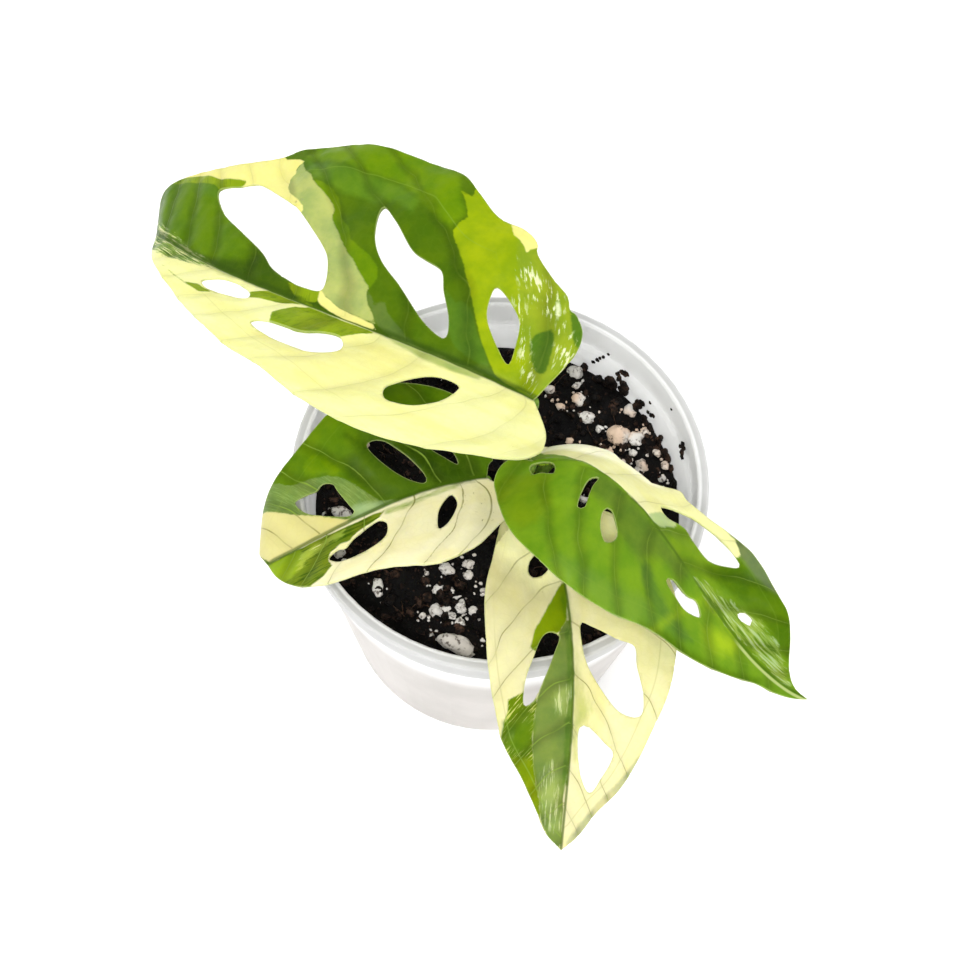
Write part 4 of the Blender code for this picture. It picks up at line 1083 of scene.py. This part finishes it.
def soil_bed(skin):
    """The potting mix as a turned body with a rough crumbly top."""
    reach = wall_radius(SOIL_LEVEL) - GAP
    foot = wall_radius(FLOOR + 1.5) - GAP
    bm = bmesh.new()
    rings = int(reach / SOIL_RING_STEP)
    profile = [(reach * i / rings, SOIL_LEVEL) for i in range(rings + 1)]
    profile += [(foot, FLOOR + 1.5), (foot * 0.96, FLOOR + GAP), (0.0, FLOOR + GAP)]
    corners = [bm.verts.new((r * MM, 0, z * MM)) for r, z in profile]
    for a, b in zip(corners, corners[1:]):
        bm.edges.new((a, b))
    bmesh.ops.spin(bm, geom=bm.verts[:] + bm.edges[:], cent=(0, 0, 0), axis=(0, 0, 1), angle=math.tau,
                   steps=SOIL_TURN_STEPS, use_merge=True, use_normal_flip=False)
    bmesh.ops.remove_doubles(bm, verts=bm.verts[:], dist=0.02 * MM)
    for v in bm.verts:
        x, y, z = v.co / MM
        if z > SOIL_LEVEL - 1:
            fine = rough((x, y), (1.0, 1.1, 0.55), (5.0, 2.3, 0.3))
            inward = min(1.0, max(0.0, (reach - math.hypot(x, y)) / SOIL_EDGE))
            v.co.z = (SOIL_LEVEL + (soil_height(x, y) - SOIL_LEVEL + fine) * inward) * MM
    return carry(mesh_piece("soil_bed", bm, skin), "soil")


def soil_spot(chance, room):
    """A place on the soil by chance, at least the room away from the wall."""
    turn = chance.uniform(0, math.tau)
    reach = (wall_radius(SOIL_LEVEL) - room) * math.sqrt(chance.random())
    return reach * math.cos(turn), reach * math.sin(turn)


def place_lumps():
    """The lumps that show, then more by chance under the leaves."""
    chance = random.Random(PERLITE_SEED)
    placed = list(SEEN_LUMPS)
    while len(placed) < len(SEEN_LUMPS) + PERLITE_COUNT:
        wide = chance.uniform(*PERLITE_SIZES)
        x, y = soil_spot(chance, PERLITE_WALL_ROOM)
        hidden = (x < 8 and y > -10) or (x > 4 and y < 4)
        free = all(math.hypot(x - a, y - b) > wide + max(w, d) + PERLITE_ROOM for a, b, w, d in placed)
        if hidden and free and from_stem(x, y) > PERLITE_STEM_ROOM + wide:
            placed.append((x, y, wide, wide * chance.uniform(0.7, 1.0)))
    return placed


def lump_into(bm, place, sizes, turn, detail, chance):
    """Add one rough lump of the given half sizes to a mesh."""
    stand = Matrix.Translation(place * MM) @ turn @ Matrix.Diagonal((*sizes, 1.0))
    made = bmesh.ops.create_icosphere(bm, subdivisions=detail, radius=MM, matrix=stand)
    middle = place * MM
    shift = Vector((chance.uniform(0, 90), chance.uniform(0, 90), 0))
    grain = 1 / (MM * max(*sizes, 0.6))
    for v in made["verts"]:
        out = v.co - middle
        coarse = noise.noise(out * (1.2 * grain) + shift) * LUMP_COARSE
        fine = noise.noise(out * (3.0 * grain) + shift) * LUMP_FINE
        v.co = middle + out * (1 + coarse + fine)


def any_turn(chance):
    axis = Vector((chance.random(), chance.random(), 0.6)).normalized()
    return Matrix.Rotation(chance.uniform(0, math.tau), 4, axis)


def perlite(skin):
    """The white lumps, each with a few small bits broken off around it."""
    chance = random.Random(PERLITE_SEED + 1)
    bm = bmesh.new()
    for x, y, wide, deep in place_lumps():
        high = min(wide, deep) * chance.uniform(0.75, 0.95)
        turn = Matrix.Rotation(chance.uniform(-0.4, 0.4), 4, "Z")
        place = Vector((x, y, soil_height(x, y) + high * 0.4))
        lump_into(bm, place, (wide, deep, high), turn, LUMP_DETAIL, chance)
        for _ in range(PERLITE_BITS):
            heading, size = chance.uniform(0, math.tau), chance.uniform(*BIT_SIZES)
            a = x + math.cos(heading) * (wide + size) * chance.uniform(1.0, 1.7)
            b = y + math.sin(heading) * (deep + size) * chance.uniform(1.0, 1.7)
            inside = math.hypot(a, b) < wall_radius(SOIL_LEVEL) - BIT_WALL_ROOM
            if from_stem(a, b) > BIT_STEM_ROOM + size and inside:
                place = Vector((a, b, soil_height(a, b) + size * 0.7))
                sizes = (size, size * 0.8, size * 0.7)
                lump_into(bm, place, sizes, any_turn(chance), CRUMB_DETAIL, chance)
    return with_soil(mesh_piece("perlite", bm, skin))


def crumbs(skin):
    """Small crumbs strewn over the soil, and clumps that cling to the pot's wall above it."""
    chance = random.Random(SOIL_SEED)
    bm = bmesh.new()
    for _ in range(CRUMB_COUNT):
        x, y = soil_spot(chance, CRUMB_WALL_ROOM)
        size = CRUMB_SMALLEST + CRUMB_SPREAD * chance.random() ** 3
        sizes = (size, size * chance.uniform(0.5, 1.0), size * chance.uniform(0.4, 0.8))
        if from_stem(x, y) > CRUMB_STEM_ROOM + size:
            place = Vector((x, y, soil_height(x, y) + size * 0.3))
            lump_into(bm, place, sizes, any_turn(chance), CRUMB_DETAIL, chance)
    for x, y, z, size in WALL_CLUMPS:
        turn = math.atan2(y, x)
        reach = min(wall_radius(z), LIP_REACH) - size * 0.75 - 0.15
        place = Vector((reach * math.cos(turn), reach * math.sin(turn), z))
        sizes = (size * 0.5, size * chance.uniform(0.7, 1.1), size * chance.uniform(0.8, 1.2))
        lump_into(bm, place, sizes, Matrix.Rotation(turn, 4, "Z"), LUMP_DETAIL, chance)
    return with_soil(mesh_piece("crumbs", bm, skin, False))


def fibres(skin):
    """Coir strands lying bent over the soil."""
    chance = random.Random(SOIL_SEED + 2)
    strands = []
    reach = wall_radius(SOIL_LEVEL) - FIBRE_WALL_ROOM
    while len(strands) < FIBRE_COUNT:
        heading = chance.uniform(0, math.tau)
        x, y = chance.uniform(-reach, reach), chance.uniform(-reach, reach)
        bend = chance.uniform(-0.5, 0.5)
        strand = []
        for _ in range(chance.randint(4, 9)):
            strand.append((x, y, soil_height(x, y) + chance.uniform(0.3, 1.0), FIBRE_RADIUS))
            heading += bend + chance.uniform(-0.3, 0.3)
            x += math.cos(heading)
            y += math.sin(heading)
        if all(from_stem(a, b) > FIBRE_STEM_ROOM and math.hypot(a, b) < reach for a, b, _, _ in strand):
            strands.append(strand)
    return with_soil(strand_piece("fibres", strands, 4, skin))


class Shader:
    """Makes one material's nodes with few words."""

    INPUTS = {
        "colour": "Base Color", "rough": "Roughness", "gloss": "Specular IOR Level", "bend": "IOR",
        "clear": "Transmission Weight", "soft": "Subsurface Weight", "soft_depth": "Subsurface Scale",
        "soft_reach": "Subsurface Radius",
    }

    def __init__(self, name):
        self.mat = bpy.data.materials.new(name)
        self.mat.use_nodes = True
        self.tree = self.mat.node_tree
        self.skin = self.tree.nodes["Principled BSDF"]

    def add(self, kind, inputs=(), **settings):
        node = self.tree.nodes.new("ShaderNode" + kind)
        for key, value in settings.items():
            setattr(node, key, value)
        for key, value in dict(inputs).items():
            self.put(node.inputs[key], value)
        return node

    def put(self, socket, value):
        if isinstance(value, bpy.types.NodeSocket):
            self.tree.links.new(value, socket)
        else:
            socket.default_value = value

    def set(self, **values):
        for key, value in values.items():
            self.put(self.skin.inputs[self.INPUTS[key]], value)

    def math(self, operation, a, b=0.0):
        return self.add("Math", {0: a, 1: b}, operation=operation).outputs[0]

    def times(self, a, b):
        return self.math("MULTIPLY", a, b)

    def plus(self, a, b):
        return self.math("ADD", a, b)

    def apart(self, a, b):
        return self.math("ABSOLUTE", self.math("SUBTRACT", a, b))

    def step(self, value, low, high, start=0.0, end=1.0):
        """Go smoothly from start to end as the value goes from low to high."""
        node = self.add("MapRange", {"Value": value, "From Min": low, "From Max": high,
                                     "To Min": start, "To Max": end}, interpolation_type="SMOOTHSTEP")
        return node.outputs["Result"]

    def mix(self, share, a, b, blend="MIX"):
        node = self.add("Mix", data_type="RGBA", blend_type=blend)
        for index, value in ((0, share), (6, a), (7, b)):
            self.put(node.inputs[index], value)
        return node.outputs[2]

    def field(self, name):
        return self.add("Attribute", attribute_name=name).outputs["Fac"]

    def parts(self, vector):
        return self.add("SeparateXYZ", {0: vector}).outputs

    def pair(self, x, y):
        return self.add("CombineXYZ", {0: x, 1: y}).outputs[0]

    def flat_place(self, stretch=(100.0, 100.0, 100.0), turn=0.0):
        """The place on the blade's flat map, in millimetres unless stretched, and turned."""
        flat = self.add("UVMap", uv_map="flat").outputs["UV"]
        node = self.add("Mapping", {"Vector": flat, "Scale": stretch, "Rotation": (0, 0, turn)})
        return node.outputs["Vector"]

    def object_place(self, stretch=(1000.0, 1000.0, 1000.0)):
        """The place on the piece, in millimetres unless stretched."""
        place = self.add("TexCoord").outputs["Object"]
        return self.add("Mapping", {"Vector": place, "Scale": stretch}).outputs["Vector"]

    def noise(self, place, scale, detail=3.0, rough=0.55):
        node = self.add("TexNoise", {"Vector": place, "Scale": scale, "Detail": detail, "Roughness": rough})
        return node.outputs["Fac"]

    def bump(self, height, strength, distance):
        node = self.add("Bump", {"Height": height, "Strength": strength, "Distance": distance * MM})
        self.put(self.skin.inputs["Normal"], node.outputs["Normal"])


def tint(red, green, blue, returned=LIGHT_RETURNED):
    """A colour as seen on a screen, 0 to 255 each, as the share of light that the surface returns."""
    out = []
    for value in (red, green, blue):
        share = value / 255
        out.append(returned * (share / 12.92 if share <= 0.04045 else ((share + 0.055) / 1.055) ** 2.4))
    return (*out, 1.0)


def milk(red, green, blue):
    """A tint of the pot or the floor, which return all the light."""
    return tint(red, green, blue, ALL_RETURNED)


def leaf_grains(shader, phase, across):
    """Fleck patterns stretched along the midrib or along the side veins."""
    fan = shader.pair(shader.times(phase, 22.0), shader.times(shader.math("ABSOLUTE", across), 0.3))
    fields = {
        "rib": shader.noise(shader.flat_place((13.0, 170.0, 100.0)), 1.0, 5.0, 0.62),
        "vein": shader.noise(fan, 1.0, 5.0, 0.62),
        "dots": shader.noise(shader.flat_place(), 0.83, 4.0, 0.7),
    }
    return {grain: shader.step(fields[field], *limits) for grain, (field, *limits) in GRAINS.items()}


def leaf_paint(shader, name, across, grains):
    """The halves' own colours with every patch laid over them."""
    streaks = shader.noise(shader.flat_place((34.0, 120.0, 100.0), 0.7), 1.0, 4.0, 0.6)
    ragged = shader.math("SUBTRACT", streaks, 0.5)
    (right, left), layers = TONES[name]
    colour = shader.mix(shader.step(across, -0.15, 0.15), tint(*left), tint(*right))
    for tone, paint, softness, tear, grain in layers:
        edge = shader.plus(shader.field(tone), shader.times(ragged, 2 * tear))
        share = shader.step(edge, -softness - 0.05, softness + 0.05)
        if grain:
            share = shader.times(share, grains[grain])
        colour = shader.mix(share, colour, tint(*paint))
    return colour


def collar_vein(shader, name, creamy, along, across, strength):
    """The vein that follows the margin, strongest over the middle of the blade."""
    right, left = VEINS[name]["collar"]
    middle = shader.step(across, -0.1, 0.1, left, right)
    ring = shader.step(shader.apart(shader.field("margin"), middle), 0.05, 0.24, strength, 0.0)
    ring = shader.times(ring, shader.step(along, COLLAR_END, COLLAR_END + 12, 1.0, 0.0))
    ring = shader.times(ring, shader.step(along, COLLAR_START, COLLAR_START + 10, 0.2, 1.0))
    return shader.times(ring, shader.step(creamy, 0.0, 1.0, 1.0, 0.5))


def leaf_lines(shader, name, colour, creamy, place, along, across, phase):
    """Side veins with painted shade in their grooves, the vein along the margin, the fine net, and the
    midrib's lines, whose dark ones are painted shade in its crease.
    """
    vein_strength, collar_strength = VEIN_STRENGTH[name]
    side = shader.times(shader.math("PINGPONG", phase, 0.5), shader.field("gap"))
    vein = shader.step(side, 0.05, 0.26, 1.0, 0.0)
    # Painted shade and light: the colour darkens into the grooves along the side veins and lightens between
    # them, less so on cream.
    vein_groove_shade = shader.plus(shader.step(side, 0.0, 2.6, 0.78, 1.1), shader.step(creamy, 0.0, 1.0, 0.0, 0.1))
    shaded = shader.add("HueSaturation", {"Color": colour, "Value": vein_groove_shade}).outputs[0]
    colour = shader.mix(shader.step(creamy, 0.0, 1.0, 1.0, 0.25), colour, shaded)
    ring = collar_vein(shader, name, creamy, along, across, collar_strength)
    cells = shader.add("TexVoronoi", {"Vector": place, "Scale": 0.5}, feature="DISTANCE_TO_EDGE")
    net = shader.step(cells.outputs["Distance"], 0.02, 0.12, 0.03, 0.0)
    fade = shader.step(shader.noise(place, 0.09, 2.0), 0.35, 0.65, 0.12, 0.4)
    fade = shader.times(fade, vein_strength)
    lines = shader.math("MAXIMUM", shader.times(vein, fade), shader.math("MAXIMUM", ring, net))
    colour = shader.mix(lines, colour, shader.mix(creamy, tint(150, 182, 66), tint(140, 138, 66)))
    # Dark midrib lines are painted shade in the crease; pale ones are the rib's own colour.
    for start, end, shift, width, paint, strength in RIB_LINES_AND_CREASE_SHADE[name]:
        share = shader.step(shader.apart(across, shift), width * 0.3, width, strength, 0.0)
        share = shader.times(share, shader.step(along, start - 2, start + 2))
        share = shader.times(share, shader.step(along, end - 2, end + 2, 1.0, 0.0))
        colour = shader.mix(share, colour, tint(*paint))
    return colour, vein, net


def leaf_skin(name):
    """Variegated blade: torn and streaked patches, faint veins, narrow pale rims, painted shade along the
    vein grooves and the midrib's crease, painted highlights on some patches, and a soft gloss.
    """
    shader = Shader(name + "_variegation")
    place = shader.flat_place()
    spot = shader.parts(place)
    along, across = spot["X"], spot["Y"]
    phase = shader.field("phase")
    colour = leaf_paint(shader, name, across, leaf_grains(shader, phase, across))
    sway = shader.times(shader.math("SUBTRACT", shader.noise(place, 0.09, 1.0), 0.5), 0.36)
    creamy = shader.step(shader.add("RGBToBW", {0: colour}).outputs[0], 0.31, 0.42)
    green_cast = shader.mix(shader.step(shader.noise(place, 0.13, 4.0, 0.6), 0.3, 0.7),
                            (0.8, 0.88, 0.9, 1.0), (1.2, 1.12, 1.1, 1.0))
    slant = shader.noise(shader.flat_place((30.0, 90.0, 100.0), 0.3), 0.12, 3.0)
    cream_cast = shader.mix(shader.step(slant, 0.4, 0.7), (1.0, 1.0, 1.0, 1.0), (0.97, 0.95, 0.78, 1.0))
    colour = shader.mix(1.0, colour, shader.mix(creamy, green_cast, cream_cast), "MULTIPLY")
    speck = shader.step(shader.noise(place, 1.1, 2.0), 0.74, 0.78, 0.0, 0.5)
    colour = shader.mix(shader.times(speck, creamy), colour, tint(120, 96, 48))
    swayed = shader.plus(phase, sway)
    colour, vein, net = leaf_lines(shader, name, colour, creamy, place, along, across, swayed)
    rim = shader.step(shader.field("rim"), 0.03, 0.24, 0.4, 0.0)
    colour = shader.mix(rim, colour, tint(210, 220, 150))
    shader.set(colour=colour, rough=shader.step(shader.noise(place, 0.5, 3.0), 0.3, 0.7, 0.3, 0.42),
               gloss=0.05, soft=0.45, soft_depth=0.0016, soft_reach=(0.8, 1.0, 0.3))
    relief = shader.plus(shader.times(vein, -0.5), shader.times(net, -1.5))
    relief = shader.plus(relief, shader.times(shader.noise(place, 2.2, 4.0), 0.25))
    shader.bump(relief, 0.35, 0.25)
    return shader.mat


def stalk_skin(name, pale, deep):
    """Green stalk or brown strand with fine length-wise streaks and a few brown marks."""
    shader = Shader(name)
    streak = shader.noise(shader.object_place((1400.0, 1400.0, 120.0)), 1.0, 4.0)
    colour = shader.mix(shader.step(streak, 0.35, 0.65), tint(*deep), tint(*pale))
    speck = shader.noise(shader.object_place(), 0.9, 4.0)
    colour = shader.mix(shader.step(speck, 0.62, 0.72, 0.0, 0.55), colour, tint(112, 92, 50))
    shader.set(colour=colour, rough=0.42, gloss=0.2, soft=0.1, soft_depth=0.001)
    shader.bump(streak, 0.3, 0.12)
    return shader.mat


def soil_skin(name, dark, light):
    """Wet dark potting mix, near black with brown fibres and grains."""
    shader = Shader(name)
    place = shader.object_place()
    grain = shader.noise(place, 0.8, 6.0, 0.7)
    drift = shader.step(shader.noise(place, 0.16, 3.0), 0.38, 0.66, 0.1, 1.0)
    share = shader.times(shader.step(grain, 0.4, 0.68), drift)
    colour = shader.mix(share, tint(*dark), tint(*light))
    shader.set(colour=colour, rough=shader.step(grain, 0.3, 0.7, 0.35, 0.9), gloss=0.12)
    shader.bump(shader.noise(place, 1.6, 6.0, 0.7), 0.8, 0.5)
    return shader.mat


def perlite_skin():
    """White and grey lumps, pinkish toward the back, with soil in their pores."""
    shader = Shader("perlite_grains")
    place = shader.object_place()
    warmth = shader.times(shader.step(shader.noise(place, 0.09, 1.0), 0.42, 0.6),
                          shader.step(shader.parts(place)["Y"], 0.0, 15.0, 0.15, 1.0))
    white, pink = tint(250, 246, 240, PERLITE_RETURNED), tint(252, 222, 196, PERLITE_RETURNED)
    colour = shader.mix(warmth, white, pink)
    dirt = shader.noise(place, 0.75, 5.0, 0.65)
    colour = shader.mix(shader.step(dirt, 0.52, 0.64, 0.0, 0.85), colour, tint(84, 66, 56))
    shader.set(colour=colour, rough=0.85, gloss=0.2)
    shader.bump(shader.noise(place, 1.8, 5.0, 0.7), 0.7, 0.4)
    return shader.mat


def pot_skin():
    """Milky plastic: clear and white above the soil, and greyer below it as painted shade for the dark soil
    behind the wall.
    """
    shader = Shader("milky_pot")
    place = shader.object_place()
    spot = shader.parts(place)
    height = spot["Z"]
    out = shader.add("VectorMath", {0: shader.pair(spot["X"], spot["Y"])}, operation="LENGTH")
    cloud = shader.noise(place, 0.05, 4.0)
    # Painted shade: below the soil line the wall is greyed for the dark soil standing behind it.
    body = shader.mix(shader.step(cloud, 0.25, 0.75), milk(168, 164, 160), milk(184, 179, 175))
    wall = shader.mix(cloud, milk(250, 251, 251), milk(254, 254, 254))
    colour = shader.mix(shader.step(height, SOIL_LEVEL - 12, SOIL_LEVEL + 4), body, wall)
    collar = shader.times(shader.step(out.outputs["Value"], LIP_REACH + 0.9, LIP_REACH + 1.5),
                          shader.step(height, COLLAR_BOTTOM - 0.6, COLLAR_BOTTOM))
    colour = shader.mix(collar, colour, shader.mix(cloud, milk(184, 184, 183), milk(204, 204, 203)))
    shader.set(colour=colour, rough=0.4, gloss=0.35, bend=1.2,
               clear=shader.step(height, SOIL_LEVEL, SOIL_LEVEL + 4, 0.0, 0.35),
               soft=1.0, soft_depth=0.004, soft_reach=(1.0, 1.0, 1.0))
    shader.bump(shader.noise(shader.object_place((400.0, 400.0, 1500.0)), 1.0, 3.0), 0.12, 0.05)
    return shader.mat


def floor_skin():
    shader = Shader("pale_floor")
    grain = shader.noise(shader.object_place(), 0.02, 3.0)
    shader.set(colour=shader.mix(grain, milk(251, 251, 251), milk(254, 254, 254)), rough=0.8, gloss=0.2)
    return shader.mat


def floor_and_light():
    bm = bmesh.new()
    bmesh.ops.create_grid(bm, x_segments=2, y_segments=2, size=3.0)
    floor = mesh_piece("studio_floor", bm, floor_skin())
    for name, place, size, power in LAMPS:
        lamp = bpy.data.lights.new(name, "AREA")
        lamp.shape = "DISK"
        lamp.size = size
        lamp.energy = power
        obj = link(name, lamp)
        obj.location = place
        obj.rotation_euler = (Vector(LAMP_AIM) - Vector(place)).to_track_quat("-Z", "Y").to_euler()
    world = bpy.data.worlds.new("studio")
    world.use_nodes = True
    sky = world.node_tree.nodes["Background"]
    sky.inputs["Color"].default_value = (1.0, 1.0, 1.0, 1.0)
    sky.inputs["Strength"].default_value = SKY_POWER
    bpy.context.scene.world = world
    bpy.context.scene.view_settings.view_transform = "Standard"


def camera():
    look = Vector((0, math.cos(VIEW_PITCH), -math.sin(VIEW_PITCH)))
    right = Vector((1, 0, 0))
    up = right.cross(look)
    across = right * math.cos(VIEW_ROLL) + up * math.sin(VIEW_ROLL)
    over = up * math.cos(VIEW_ROLL) - right * math.sin(VIEW_ROLL)
    turn = Matrix((across, over, -look)).transposed().to_4x4()
    lens = bpy.data.cameras.new("camera")
    lens.lens = VIEW_LENS
    lens.sensor_width = 36.0
    lens.clip_start = 0.01
    lens.clip_end = 20.0
    obj = link("camera", lens)
    obj.matrix_world = Matrix.Translation(Vector(VIEW_PLACE) * MM) @ turn
    bpy.context.scene.camera = obj


def main():
    camera()
    floor_and_light()
    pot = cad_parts["pot"]
    pot.data.materials.clear()
    pot.data.materials.append(pot_skin())
    soil_bed(soil_skin("potting_mix_bed", (4, 3, 3), (27, 20, 17)))
    crumbs(soil_skin("potting_mix_crumbs", (6, 5, 4), (104, 78, 64)))
    fibres(stalk_skin("coir", (92, 66, 46), (40, 28, 22)))
    perlite(perlite_skin())
    carry(tube("stem_vine", STEM, 20, stalk_skin("vine_bark", (128, 142, 70), (84, 100, 44))), "stem")
    green = stalk_skin("stalk_rind", (138, 172, 66), (98, 138, 34))
    for name, knots in STALKS.items():
        carry(tube(name + "_stalk", knots, 16, green), name)
    for name, shape in LEAVES.items():
        leaf(name, shape, leaf_skin(name))


main()
